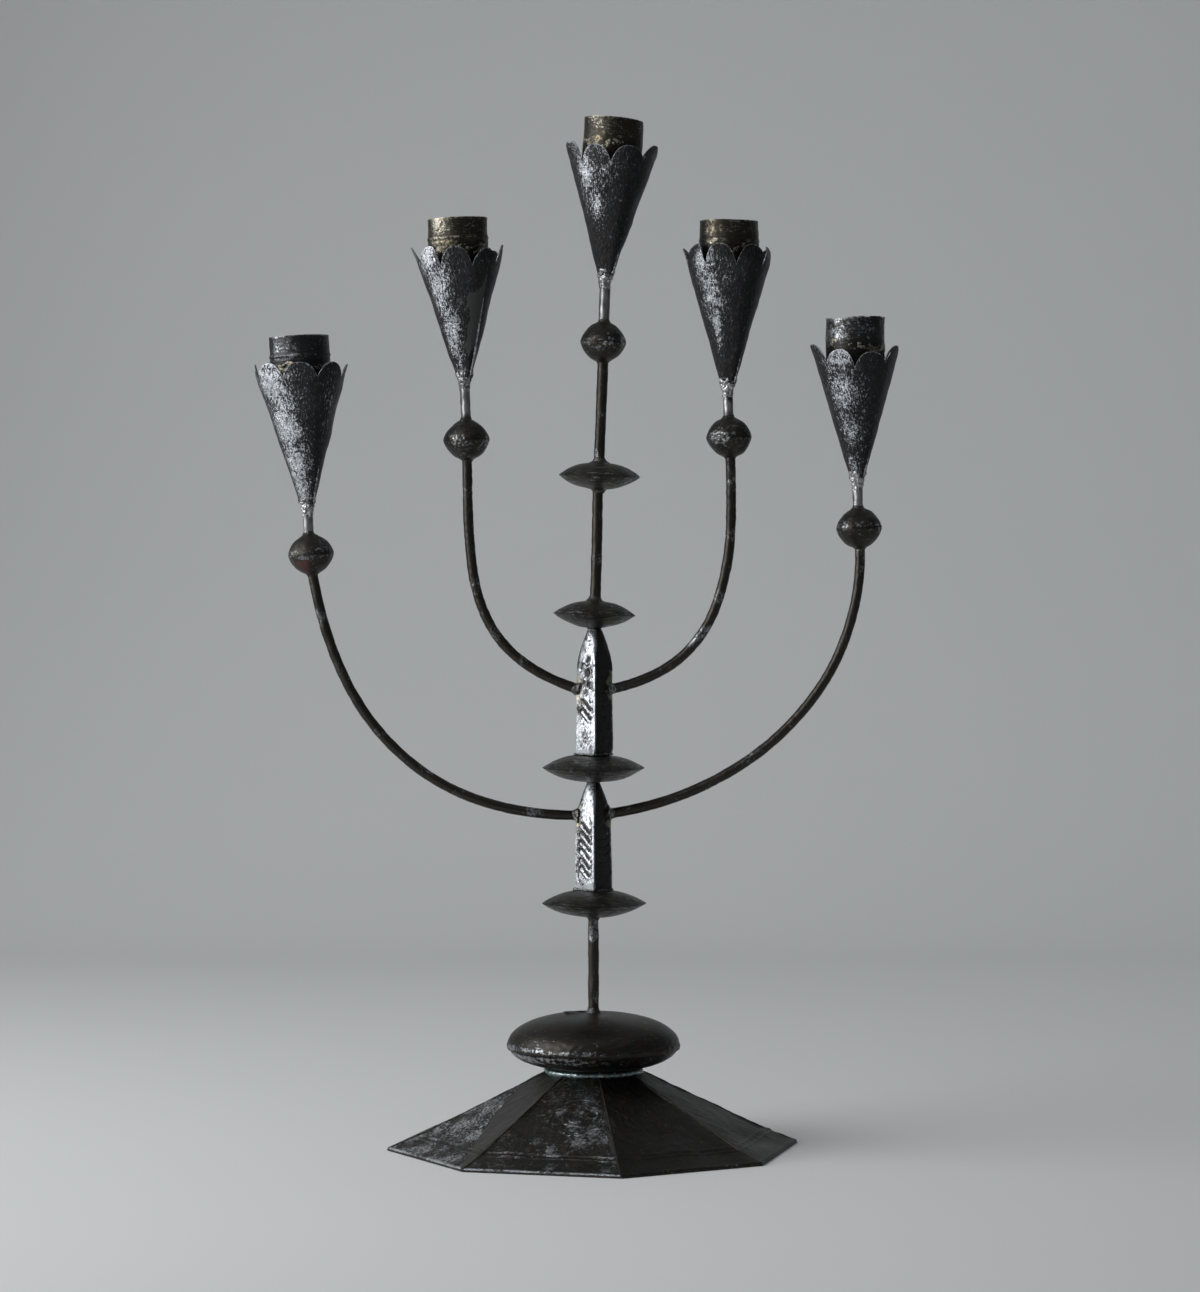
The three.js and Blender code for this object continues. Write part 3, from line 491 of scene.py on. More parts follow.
def addPanel(index):
    work = panelWork[index]
    turn = math.radians(base["turn"]) + 2 * math.pi * (index - 0.5) / base["sides"]
    foot = base["footRadius"]
    radii = np.linspace(foot - 0.12, base["topRadius"], base["rows"])
    inside = np.linspace(base["topRadius"], foot - 2.6, 26)
    edge = [(foot - 0.25, 0.0), (foot - 0.03, 0.18), (foot, 0.45), (foot - 0.03, 0.75)]
    hem = [(foot - base["hemWidth"], base["sheet"]), (foot - base["hemWidth"], 0.0)]
    inward = foot - radii
    hemRoll = 0.34 * smooth(-inward, -base["hemFold"], -base["hemFold"] + 0.5) * smooth(inward, 0.0, 0.5)
    outer = np.stack([radii, skirtHeight(radii) + hemRoll], 1)
    inner = np.stack([inside, np.maximum(skirtHeight(inside) - sheetDrop, base["sheet"])], 1)
    line = np.concatenate([edge, outer, inner, hem])
    across = np.linspace(-1, 1, base["columns"])
    middle = line[:, :1] * midFace
    sideways = across[None, :] * (middle * math.tan(math.pi / base["sides"]) - 0.03)
    height = np.broadcast_to(line[:, 1:], sideways.shape)
    outward = np.array([math.sin(turn), -math.cos(turn), 0.0])
    along = np.array([math.cos(turn), math.sin(turn), 0.0])
    upward = np.array([0.0, 0.0, 1.0])
    points = middle[..., None] * outward + sideways[..., None] * along + height[..., None] * upward
    # relief on the outside: dents, worn ridges and a chased medallion
    rows = slice(len(edge), len(edge) + len(radii))
    skin = points[rows]
    here = sideways[rows]
    up = middle[rows]
    edgeLeft = here + up * math.tan(math.pi / base["sides"])
    edgeRight = up * math.tan(math.pi / base["sides"]) - here
    nearSeam = np.minimum(edgeLeft, edgeRight)
    fade = smooth(nearSeam, 0.0, 2.2)
    slope = math.atan(skirtSlope / midFace)
    rise = (up - base["ringCentre"]) / math.cos(slope)
    wander = 0.6 * ripple(skin, 8.0, 50 + index)
    distance = np.hypot(here - work["offset"], rise) + wander
    bearing = np.arctan2(rise, here - work["offset"])
    wear = patchy(skin, 19.0, 60 + index, -1.1, 0.9)
    rings = sum(lift * bump(distance - radius, width) for radius, width, lift in base["rings"])
    petals = 0.16 * bump(distance - base["petalRadius"], 1.6)
    petals = petals * (0.5 + 0.5 * np.cos(base["petals"] * bearing))
    leaves = sum(stroke(here, up, start, end, 0.6) for start, end in leafStrokes) * (index == 1)
    chased = (rings + petals) * work["chased"] * (0.3 + 0.7 * wear) + 0.2 * leaves
    ridgeShape = bump(up / midFace - base["hipRadius"], 0.75)
    ridgeShape = ridgeShape + 0.8 * bump(up / midFace - base["hipRadius"] - base["ridgeSpacing"], 0.6)
    ridge = base["ridgeRise"] * ridgeShape * (0.5 + 0.5 * patchy(skin, 16.0, 80 + index, -1.2, 0.4))
    dents = base["dents"] * ripple(skin, 24.0, 100 + index) + 0.05 * ripple(skin, 5.0, 120 + index)
    normal = outward * math.sin(slope) + upward * math.cos(slope)
    skin += ((ridge + chased + dents * smooth(inward, 1.0, 12.0)[:, None]) * fade)[..., None] * normal
    filmLeft, filmRight = work["film"]
    narrowing = np.clip(1 - ((up - 24) / 54) ** 2, 0.08, 1)
    uneven = 1.1 * ripple(skin, 8.0, 140 + index) + 0.4 * ripple(skin, 2.5, 150 + index)
    film = smooth(filmRight * narrowing + uneven - edgeRight, -0.5, 0.7) * (filmRight > 0)
    film = np.maximum(film, smooth(filmLeft * narrowing + uneven - edgeLeft, -0.5, 0.7) * (filmLeft > 0))
    crest = work["bare"] * (0.55 + 0.45 * wear + 0.3 * ripple(skin, 2.2, 160 + index))
    crest = crest + 0.4 * ridgeShape * wear
    crest = crest + 0.9 * chased * patchy(skin, 6.0, 65 + index, -0.3, 1.2)
    scuffs = patchy(skin, 3.2, 66 + index, 0.2, 1.4)
    crest = crest + 0.35 * work["chased"] * bump(distance, 12.0) * scuffs
    crest = crest + 0.75 * bump(inward - 0.3, 0.45)[:, None] * (0.5 + 0.5 * wear) - 0.5 * film
    if index == 0:
        crest = crest + sum(0.55 * bump(np.hypot(here - x, up - y), 2.3) for x, y in flecks)
    hollow = 0.42 * bump(distance - base["grooveRadius"], 0.35)
    hollow = (hollow + 0.35 * bump(distance - base["petalRadius"], 0.5)) * work["chased"]
    hollow = hollow + 0.5 * bump(up / midFace - base["hipRadius"] - base["ridgeSpacing"] / 2, 0.45)
    hollow = hollow + 0.6 * bump(inward - base["hemFold"] - 0.1, 0.3)[:, None] + 0.6 * bump(nearSeam, 0.5)
    # painted shade: panels turned away from the lamp are darkened as a whole
    hollow = hollow + 0.45 * smooth(-radii, -24.0, -20.5)[:, None] + work.get("paintedPanelShade", 0.0)
    # the eighth panel, facing the lamp, gets whitish oxide that is partly painted highlight
    oxide = work.get("oxide", 0.15) * (1 - 0.9 * film) * (0.75 + 0.25 * ripple(skin, 10.0, 170 + index))
    marks = {key: np.zeros(sideways.shape) for key in ("worn", "grime", "film", "oxide")}
    marks["oxide"][rows] = np.clip(oxide, 0, 1)
    marks["worn"][rows] = crest
    marks["grime"][rows] = hollow
    marks["film"][rows] = film
    points = points.reshape(-1, 3) + (stemX, 0, 0)
    name = f"base_panel_{index + 1}"
    faces = sheetFaces(len(line), len(across))
    addPiece(name + "_sheet", points, faces, "base", [name], shift=index * 1.37, **marks)


for index in range(base["sides"]):
    addPanel(index)
print("base panels ready")

seam = {"radius": 0.5, "unevenness": 0.2}
seams = Batch()
for index in range(base["sides"]):
    turn = math.radians(base["turn"]) + 2 * math.pi * index / base["sides"]
    radii = np.linspace(base["footRadius"] - 1.3, base["topRadius"] + 0.2, 150)
    path = np.stack([radii, np.zeros(150), skirtHeight(radii) - 0.28], 1)
    thickness = seam["radius"] * (1 + seam["unevenness"] * ripple(path, 7.0, 200 + index))
    points, faces = rodShell(path, np.clip(thickness, 0.35, 0.9), 12)
    spin = Matrix.Rotation(turn - math.pi / 2, 3, "Z")
    points = points.reshape(-1, 3) @ np.array(spin).T + (stemX, 0, 0)
    seams.take(points, faces)
seams.piece("base_corner_solder", "seam", shift=9.1, grime=0.3)

collar = {"radius": 19.3, "height": 30.9, "thickness": 1.0, "columns": 220, "sides": 20}
turns = around(collar["columns"])
tube = around(collar["sides"])
octagon = midFace / np.cos((turns - math.radians(base["turn"]) + math.pi / 8) % (math.pi / 4) - math.pi / 8)
octagon = 0.55 + 0.45 * octagon
ringPoints = polar(turns[None, :], collar["radius"] * octagon[None, :], collar["height"])
swell = collar["thickness"] * (1 + 0.16 * ripple(ringPoints, 6.0, 230) + 0.1 * ripple(ringPoints, 2.4, 231))
points = polar(turns[None, :], collar["radius"] * octagon[None, :] + swell * np.cos(tube)[:, None],
               collar["height"] + swell * np.sin(tube)[:, None] * 1.15)
points = points.reshape(-1, 3) + (stemX, 0, 0)
faces = gridFaces(collar["sides"], collar["columns"])
addPiece("base_collar_solder", points, faces, "collar", ["base_collar"], shift=4.2)
print("base ready")


stemHole = 2.6
sheet = 0.5  # of the discs, the balls, the towers and the cones
knob = {
    "radius": 34.8,
    "seamHeight": 41.0,
    "rise": 13.0,
    "drop": 10.0,
    "roundness": 2.2,
    "lip": 0.8,  # the lower shell is this much narrower
    "lipHeight": 1.0,
    "rim": 1.3,  # how far the upper shell reaches down over the lower one
    "sheet": 0.7,
    "slotReach": 7.4,  # of the torn hole left of the stem
    "slotTurn": -100,
    "columns": 288,
}


def bunArc(radius, rise, start, steps, hole):
    first = math.asin(start / rise)
    angle = first + (math.pi / 2 - first) * np.linspace(0, 1, steps)
    height = rise * np.sin(angle)
    power = knob["roundness"]
    width = radius * (1 - np.clip(height / rise, 0, 1) ** power) ** (1 / power)
    keep = width > hole
    closing = rise * (1 - (hole / radius) ** power) ** (1 / power)
    return np.concatenate([np.stack([width, height], 1)[keep], [[hole, closing]]])


def addKnobShell(name, radius, rise, lip, lipHeight, side, seed):
    outside = bunArc(radius - 0.25 * lip, rise, lipHeight, 90, stemHole)
    inside = bunArc(radius - 0.25 * lip - knob["sheet"], rise - knob["sheet"], 0.0, 40, stemHole)[::-1]
    low = -knob["rim"]
    rim = [(radius - 0.5, low), (radius - 0.14, low), (radius, low + 0.35), (radius + 0.02, 0), (radius, 0.7)]
    outline = np.concatenate([rim, outside, inside] if lip else [outside, inside])
    points = revolve(outline, knob["columns"])
    flat = np.linalg.norm(points[..., :2], axis=-1)
    turn = np.arctan2(points[..., 0], -points[..., 1])
    near = 1 - smooth(flat, radius - 4.0, radius)
    dent = 0.07 * ripple(points, 26.0, seed) + (0.012 if lip else 0.04) * ripple(points, 7.0, seed + 1)
    rough = 0.06 * ripple(points, 3.0, seed + 2) * (1 - near)
    inner = smooth(flat, 4.0, 12.0)
    scale = 1 + ((dent * near + rough) * inner - 0.12) / np.maximum(flat, 6.0)
    points[..., :2] *= scale[..., None]
    points[..., 2] += 0.08 * ripple(points, 24.0, seed + 3) * near * inner
    if lip:  # the hole in the top runs on to the left as a torn slot
        slotShare = smooth(flat, knob["slotReach"] + 3.0, stemHole)
        aside = np.radians(awayFrom(np.degrees(turn), knob["slotTurn"]))
        stretch = 1 + bump(aside, 0.42) * slotShare * (knob["slotReach"] / stemHole - 1)
        points[..., :2] *= stretch[..., None]
        points[..., 2] += 0.35 * bump(aside, 0.6) * slotShare
    patches = patchy(points, 11.0, seed + 5, -0.9, 1.0)
    fine = patchy(points, 3.0, seed + 6, -1.4, 0.6)
    # painted highlight: wear and bluish oxide are brighter on the left, toward the lamp
    paintedLitSide = 0.35 + 0.65 * smooth(-points[..., 0] / radius, -0.5, 0.6)
    if lip:
        grains = patchy(points, 1.3, seed + 9, -0.8, 0.9)
        line = smooth(-points[..., 2], 0.8, 1.15)  # painted shadow: the rim's lower edge is darkened as the gap under it
        worn = 1.15 * smooth(-points[..., 2], -2.4, -0.5) * (0.55 + 0.45 * fine) * (0.4 + 0.6 * grains)
        worn = worn * (1 - line)
        grime = 0.75 * bump(turn - 0.09, 0.10) * smooth(-flat, -15.0, -5.0)  # darker in a narrow streak in front of the stem
        grime = grime + 0.4 * bump(flat - 3.2, 0.9) + 0.9 * line
        oxide = 0.3 * paintedLitSide * fine
    else:
        band = 1 - smooth(points[..., 2] - 1.2 * ripple(points, 9.0, seed + 7), 2.4, 6.8)
        # painted shadow: a dark line just under the upper shell's rim; the shell also gets darker toward the
        # bottom
        line = bump(points[..., 2] - knob["rim"] - 0.2, 0.45)
        worn = 1.05 * (0.4 + 0.6 * fine) * band * (1 - line)
        grime = line + 0.35 * smooth(points[..., 2], 6.5, 9.0)
        oxide = 1.1 * paintedLitSide * fine * (1 - smooth(points[..., 2], 4.5, 8.0))
    worn = worn * paintedLitSide * (0.6 + 0.4 * patches)
    points[..., 2] = knob["seamHeight"] + side * points[..., 2]
    points[..., 0] += stemX
    faces = gridFaces(len(outline), knob["columns"])
    addPiece(name + "_tin", points, faces, "knob", [name], shift=seed * 0.31, worn=worn, grime=grime,
             oxide=np.clip(oxide, 0, 1))


addKnobShell("knob_upper_shell", knob["radius"], knob["rise"], knob["lip"], knob["lipHeight"], 1, 21)
addKnobShell("knob_lower_shell", knob["radius"] - knob["lip"], knob["drop"], 0.0, 0.0, -1, 27)
print("knob ready")


stem = {"radius": 2.15, "foot": 27.0, "top": 353.4, "bend": 202.0, "lean": 1.87}  # it leans above the bend


def stemPoint(height):
    leaned = max(0.0, height - stem["bend"])
    return np.array([stemX + leaned * math.tan(math.radians(stem["lean"])), 0.0, height])


def stemLeanAt(height):
    return stem["lean"] if height > stem["bend"] else 0.0


def addRod(name, path, radius, seed, tinned):  # tinned is the step of the path where the solder film starts
    path = np.asarray(path, float)
    bend = np.zeros(path.shape)
    along = np.linspace(0, 1, len(path))
    ends = smooth(along, 0, 0.08) * (1 - smooth(along, 0.92, 1))
    bend[:, 1] = 0.16 * ripple(path, 60.0, seed) * ends
    bend[:, 0] = 0.07 * ripple(path, 34.0, seed + 1) * ends
    size = radius * (1 + 0.018 * ripple(path, 9.0, seed + 2) + 0.008 * ripple(path, 2.6, seed + 3))
    points, faces = rodShell(path + bend, size, 28)
    points = points + 0.03 * ripple(points, 4.0, seed + 4)[..., None] * np.array([1.0, 1.0, 0.3])
    dipped = smooth(np.arange(len(path)), tinned - 3, tinned + 3)[:, None]
    film = dipped * (0.55 + 0.3 * ripple(points, 5.0, seed + 6))
    worn = 0.5 * patchy(points, 14.0, seed + 5, 0.1, 1.6) + 0.5 * film
    addPiece(name + "_iron", points, faces, "rod", [name], shift=seed * 0.17, worn=worn, film=film)


discs = [
    {"height": 98.0, "radius": 21.0, "rise": 5.3},
    {"height": 152.2, "radius": 21.0, "rise": 5.3},
    {"height": 213.7, "radius": 16.4, "rise": 5.2},
    {"height": 269.0, "radius": 16.4, "rise": 5.2},
]
discShape = {
    "fullness": 2.7,
    "roundness": 1.0,
    "sheet": sheet,
    "collar": 0.6,
    "hole": stemHole,
    "belt": (0.45, 1.4),  # how bright the metal is at the seam, and how far from it
    "columns": 180,
    "rows": 46,
}


def lensShare(radius, lens):
    return np.clip(1 - (radius / lens["radius"]) ** lens["fullness"], 0, 1) ** lens["roundness"]


def lensHeight(radius, lens):
    flare = (lens["hole"] / radius) ** 3 - (lens["hole"] / lens["radius"]) ** 3
    return lens["rise"] * lensShare(radius, lens) + lens["collar"] * flare


def lensArc(lens, steps):
    share = lensShare(lens["hole"], lens) * np.sin(math.pi / 2 * np.linspace(0, 1, steps))
    radius = lens["radius"] * (1 - share ** (1 / lens["roundness"])) ** (1 / lens["fullness"])
    return np.stack([radius, lensHeight(radius, lens)], 1)


def addLens(name, lens, place, finish, seed):
    outside = lensArc(lens, lens["rows"])
    hollow = {**lens, "radius": lens["radius"] - lens["sheet"] * 1.8, "rise": lens["rise"] - lens["sheet"]}
    inside = lensArc(hollow, lens["rows"] // 2)[::-1]
    outline = np.concatenate([[(lens["radius"] - 0.05, 0.0)], outside[1:], inside])
    for part, side in (("upper_shell", 1), ("lower_shell", -1)):
        points = revolve(outline, lens["columns"])
        seedHere = seed + (0 if side > 0 else 50)
        flat = np.linalg.norm(points[..., :2], axis=-1)
        away = smooth(flat, lens["hole"], lens["hole"] + 4)
        shared = points * (1, 1, 0)
        rimWave = 0.012 * ripple(shared, lens["radius"] * 0.8, seed + 7)
        rimWave = rimWave + 0.005 * ripple(shared, 3.0, seed + 8)
        points[..., :2] *= (1 - 0.012 + rimWave * away)[..., None]
        points[..., 2] *= 1 + 0.03 * ripple(points, lens["radius"], seedHere) * away
        nearRim = bump(points[..., 2], 0.9) * (flat > lens["radius"] * 0.6)
        patches = patchy(points * (1, 1, side), 9.0, seed + 3, -0.3, 1.4)
        fine = patchy(points, 1.7, seedHere + 4, -0.6, 1.4)
        share, width = lens["belt"]
        worn = share * (0.35 + 0.65 * patches * fine) * bump(points[..., 2], width)
        worn = worn + 0.2 * patches * patches * fine
        oxide = (0.9 if side < 0 else 0.3) * patches * (0.4 + 0.6 * nearRim)
        grime = 0.4 * smooth(-flat, -lens["hole"] - 2.2, -lens["hole"] - 0.3)
        grime = grime + 0.6 * bump(points[..., 2] - 0.15, 0.15)
        turn = np.degrees(np.arctan2(points[..., 0], -points[..., 1]))
        rusty = (finish == "rustyBall") * (side < 0) * bump(turn + 22, 42) * smooth(points[..., 2], 1.0, 2.6)
        points[..., 2] *= side
        faces = gridFaces(len(outline), lens["columns"])
        addPiece(f"{name}_{part}_tin", points, faces, finish, [f"{name}_{part}"], place=place,
                 shift=seedHere * 0.23, worn=worn, grime=grime, oxide=oxide, rusty=rusty)


stemSolder = Batch()


def solderRing(batch, seed, point, degrees, radius, reach, height, up=True):
    place = placeAt(point, degrees if up else degrees + 180)
    batch.take(*filletShell(radius, reach, height, seed), place)


for number, disc in enumerate(discs):
    degrees = stemLeanAt(disc["height"])
    place = placeAt(stemPoint(disc["height"]), degrees)
    lens = {**disc, **discShape}
    addLens(f"disc_{number + 1}", lens, place, "disc", 300 + 10 * number)
    top = lensHeight(stemHole + 1.2, lens)
    if number in (2, 3):
        over = stemPoint(disc["height"] + top)
        solderRing(stemSolder, 340 + number, over, degrees, stem["radius"], 1.5, 1.9)
    under = stemPoint(disc["height"] - top)
    solderRing(stemSolder, 350 + number, under, degrees, stem["radius"], 1.1, 1.3, up=False)
print("discs ready")

knobTop = knob["seamHeight"] + knob["rise"]
solderRing(stemSolder, 360, stemPoint(knobTop - 0.25), 0, stem["radius"], 1.0, 2.1)


# each light as it stands: reach is its distance from the stem, neck the rod between ball and cone, and joint,
# tilt, lead, armLean and trail bend its arm (lengths in mm, leans and turns in degrees)
lights = {
    "middle": {"side": 0, "reach": 0.0, "ballHeight": 322.4, "neck": 26.5, "neckLean": stem["lean"],
               "cone": 53.3, "mouth": 19.2, "coneLean": 3.1, "petalTurn": -1.0, "socketRise": 9.8,
               "bead": 0.0},
    "inner_left": {"side": -1, "reach": 50.6, "ballHeight": 283.4, "neck": 24.8, "neckLean": -2.3,
                   "cone": 52.9, "mouth": 18.8, "coneLean": -2.5, "petalTurn": -25.5, "socketRise": 10.5,
                   "bead": 0.4, "joint": 184.0, "tilt": 19.0, "lead": 48.4, "armLean": -1.0, "trail": 52.9},
    "inner_right": {"side": 1, "reach": 54.2, "ballHeight": 284.4, "neck": 21.2, "neckLean": -1.6,
                    "cone": 54.4, "mouth": 18.3, "coneLean": 0.4, "petalTurn": -36.0, "socketRise": 10.6,
                    "bead": 0.25, "joint": 183.8, "tilt": 11.7, "lead": 48.0, "armLean": -3.6, "trail": 52.2},
    "outer_left": {"side": -1, "reach": 113.4, "ballHeight": 237.6, "neck": 20.0, "neckLean": -2.9,
                   "cone": 56.3, "mouth": 19.3, "coneLean": -2.8, "petalTurn": -20.0, "socketRise": 10.9,
                   "bead": 0.4, "joint": 133.2, "tilt": 0.0, "lead": 76.8, "armLean": -6.5, "trail": 45.6},
    "outer_right": {"side": 1, "reach": 106.1, "ballHeight": 248.2, "neck": 20.2, "neckLean": -2.0,
                    "cone": 53.6, "mouth": 18.3, "coneLean": -0.8, "petalTurn": -5.0, "socketRise": 10.3,
                    "bead": 0.0, "joint": 134.0, "tilt": 7.6, "lead": 50.4, "armLean": -5.4, "trail": 67.2},
}
armRadius = 2.0


def ballPoint(light):
    if not light["side"]:
        return stemPoint(light["ballHeight"])
    return np.array([stemX + light["side"] * light["reach"], 0.0, light["ballHeight"]])


def rodRadiusOf(light):
    return armRadius if light["side"] else stem["radius"]


def armBend(light, steps):
    tilt = math.radians(light["tilt"])
    corner = np.array([stemX + light["side"] * tower["shoulder"], 0.0, light["joint"]])
    way = np.array([light["side"] * math.cos(tilt), 0.0, math.sin(tilt)])
    ball = ballPoint(light)
    leads = [corner, corner + way * light["lead"], ball - lean(light["armLean"], light["trail"]), ball]
    t = np.linspace(0, 1, steps)[:, None]
    weights = ((1 - t) ** 3, 3 * (1 - t) ** 2 * t, 3 * (1 - t) * t ** 2, t ** 3)
    return sum(weight * lead for weight, lead in zip(weights, leads)), way


tower = {
    "foot": 7.5,  # half width over the corners
    "shoulder": 7.05,
    "shoulderLength": 16.2,
    "fullness": 0.35,
    "sheet": sheet,
    "ribRise": 0.3,
    "ribDepth": 0.4,
    "ribWidth": 0.42,
    "arcBend": 0.09,  # of the smiling arcs on the faces between the ribbed ones
    "rows": 300,
    "innerRows": 30,
    "columns": 376,
}
# below and above are the discs a tower stands between, aside is how far it sits off the stem, ribs are the
# tops of the hooked grooves, hollows go by across, height, half width and half height, and arcs by height
towers = {
    "lower_tower": {
        "below": 0, "above": 1, "aside": 0.0, "seed": 400, "joint": "outer_left",
        "ribs": (130.4, 126.9, 123.5, 120.1, 116.4, 113.2),
        "hollows": (),
        "arcs": (124.0, 121.0, 118.0, 114.6),
    },
    "upper_tower": {
        "below": 1, "above": 2, "aside": 0.45, "seed": 430, "joint": "inner_left",
        "ribs": (179.6, 176.0),
        "hollows": ((1.5, 195.6, 0.8, 1.5), (-2.0, 192.8, 0.7, 1.6), (1.0, 190.0, 1.5, 2.0),
                    (1.9, 185.6, 0.8, 1.2), (0.4, 182.6, 0.8, 1.2)),
        "arcs": (182.4, 177.0),
    },
}


def chasedRelief(plan, u, v, ribbed):
    # one pair of faces has slanted fingers outlined by hooked grooves, and leaf shaped hollows
    # the other pair has faint arcs
    cut = np.zeros(u.shape)
    swell = np.zeros(u.shape)
    for top in plan["ribs"]:
        hook = [(0.4, -4.7), (-3.1, -1.8), (-3.0, -0.8), (-2.2, -0.2), (-1.1, -0.4), (2.8, -4.1)]
        for (fromU, fromV), (toU, toV) in zip(hook, hook[1:]):
            cut = np.maximum(cut, stroke(u, v, (fromU, top + fromV), (toU, top + toV), tower["ribWidth"]))
        swell = np.maximum(swell, stroke(u, v, (-1.9, top - 1.9), (1.8, top - 4.9), 0.7))
        swell = np.maximum(swell, 0.8 * stroke(u, v, (-0.2, top + 0.9), (3.4, top - 2.8), 0.6))
    for across, centre, halfWidth, halfHeight in plan["hollows"]:
        sideways = (u - across) * 0.94 - (v - centre) * 0.34
        upward = (v - centre) * 0.94 + (u - across) * 0.34
        reach = np.hypot(sideways / halfWidth, upward / halfHeight)
        cut = np.maximum(cut, 0.75 * (1 - smooth(reach, 0.55, 1.05)))
        swell = np.maximum(swell, bump(reach - 1.3, 0.22))
    arc = np.zeros(u.shape)
    for centre in plan["arcs"]:
        line = bump(v - centre - tower["arcBend"] * u ** 2, 0.42)
        arc = np.maximum(arc, line * (1 - smooth(np.abs(u), 2.6, 3.4)))
    return np.where(ribbed, cut, 0.3 * arc), np.where(ribbed, swell, 0.0)


def addTower(name):
    plan = towers[name]
    wall = tower["foot"] / math.sqrt(2) - tower["sheet"]
    below = {**discs[plan["below"]], **discShape}
    above = {**discs[plan["above"]], **discShape}
    foot = below["height"] + lensHeight(wall, below) + 0.1
    top = above["height"] - lensHeight(stemHole, above) - 0.2
    shoulder = top - tower["shoulderLength"]
    rows, innerRows, columns = tower["rows"], tower["innerRows"], tower["columns"]
    height = np.linspace(foot, top, rows)
    share = np.clip((height - shoulder) / tower["shoulderLength"], 0, 1)
    # the shoulder's curve, solved for its height
    control = tower["fullness"]
    t = (np.sqrt(control ** 2 + (1 - 2 * control) * share) - control) / (1 - 2 * control)
    upright = np.clip((height - foot) / (shoulder - foot), 0, 1)
    widest = tower["foot"] + (tower["shoulder"] - tower["foot"]) * upright
    topRadius = stem["radius"] + 0.55
    corner = (1 - t) ** 2 * widest + 2 * t * (1 - t) * widest + t ** 2 * topRadius
    power = (1.055 + 0.945 * t ** 2)[:, None]
    turns = around(columns)[None, :]
    square = (np.abs(np.sin(turns)) ** power + np.abs(np.cos(turns)) ** power) ** (-1 / power)
    radius = corner[:, None] * square
    facing = np.floor(turns / (math.pi / 2))
    middle = (facing + 0.5) * math.pi / 2
    u = radius * np.sin(turns - middle)
    v = np.broadcast_to(height[:, None], u.shape)
    ribbed = np.broadcast_to((facing == 1) | (facing == 3), u.shape)
    groove, swell = chasedRelief(plan, u, v, ribbed)
    relief = tower["ribRise"] * swell - tower["ribDepth"] * groove
    skin = polar(turns, radius, height[:, None])
    relief = relief + 0.07 * ripple(skin, 13.0, plan["seed"]) + 0.02 * ripple(skin, 2.6, plan["seed"] + 1)
    outer = polar(turns, radius + relief, height[:, None])
    pick = np.linspace(rows - 1, 0, innerRows).round().astype(int)
    inner = polar(turns, np.maximum(radius[pick] - tower["sheet"] * 1.3, 2.2), height[pick][:, None])
    points = np.concatenate([outer, inner])
    worn = np.zeros(points.shape[:2])
    grime = np.zeros(points.shape[:2])
    fromArris = np.abs(u).max(1, keepdims=True) - np.abs(u)
    patches = patchy(skin, 8.0, plan["seed"] + 4, -1.3, 0.6)
    # painted shade: the plain pair of faces, the front right one turned away from the lamp, is darkened and
    # gets little wear
    paintedFaceShade = np.where(ribbed, 0.0, smooth(fromArris, 0.3, 1.4))
    ribZone = np.clip(sum(bump(height - top + 2.0, 3.0) for top in plan["ribs"]), 0, 1)[:, None]
    worn[:rows] = 0.6 * bump(fromArris, 0.6) * (1 - 0.7 * paintedFaceShade)
    worn[:rows] += (0.2 * swell + 0.45 * patches * (1 - groove) * (1 - 0.95 * ribZone)) * (1 - paintedFaceShade)
    grime[:rows] = 0.55 * groove + 0.5 * smooth(-height, -foot - 0.9, -foot)[:, None]
    grime[:rows] += 0.3 * patchy(skin, 2.4, plan["seed"] + 6, 0.4, 1.6) + 0.7 * paintedFaceShade
    # the rounded side corners of the shoulders are dark
    sideOn = np.abs(np.degrees(turns) % 180 - 90)
    grime[:rows] += 0.9 * bump(sideOn, 9.0) * smooth(height, shoulder - 3.0, shoulder + 2.5)[:, None]
    oxide = np.zeros(points.shape[:2])
    oxide[:rows] = 1.6 * smooth(-height, -foot - 5.0, -foot - 1.0)[:, None] * (1 - paintedFaceShade)
    film = np.zeros(points.shape[:2])
    joint = polar(np.array([-1.0, 1.0]) * math.pi / 2, tower["shoulder"], lights[plan["joint"]]["joint"])
    for spot in joint:
        patchReach = np.linalg.norm((skin - spot) * (1.0, 1.0, 0.55), axis=-1)
        film[:rows] += 1 - smooth(patchReach + 0.5 * ripple(skin, 3.0, plan["seed"] + 7), 2.6, 3.6)
    points[..., 0] += stemX + plan["aside"] * smooth(points[..., 2], foot, foot + 3)
    addPiece(name + "_tin", points, gridFaces(rows + innerRows, columns), "tower", [name],
             shift=plan["seed"] * 0.13, crease=50, worn=worn, grime=grime, film=film, oxide=oxide)
    # solder where the tower stands on its disc
    footBatch = Batch()
    edge = polar(turns[0], radius[0] + 0.15, foot)
    bead = around(10)[:, None]
    size = 0.42 * (1 + 0.45 * ripple(edge, 3.0, plan["seed"] + 8))
    ring = polar(turns, radius[0] + 0.1 + size * np.cos(bead), foot + 0.1 + size * np.sin(bead))
    ring[..., 0] += stemX
    footBatch.take(ring, gridFaces(10, columns))
    footBatch.piece(name + "_foot_solder", "solder", shift=plan["seed"] * 0.19, grime=0.25)


for name in towers:
    addTower(name)
print("towers ready")


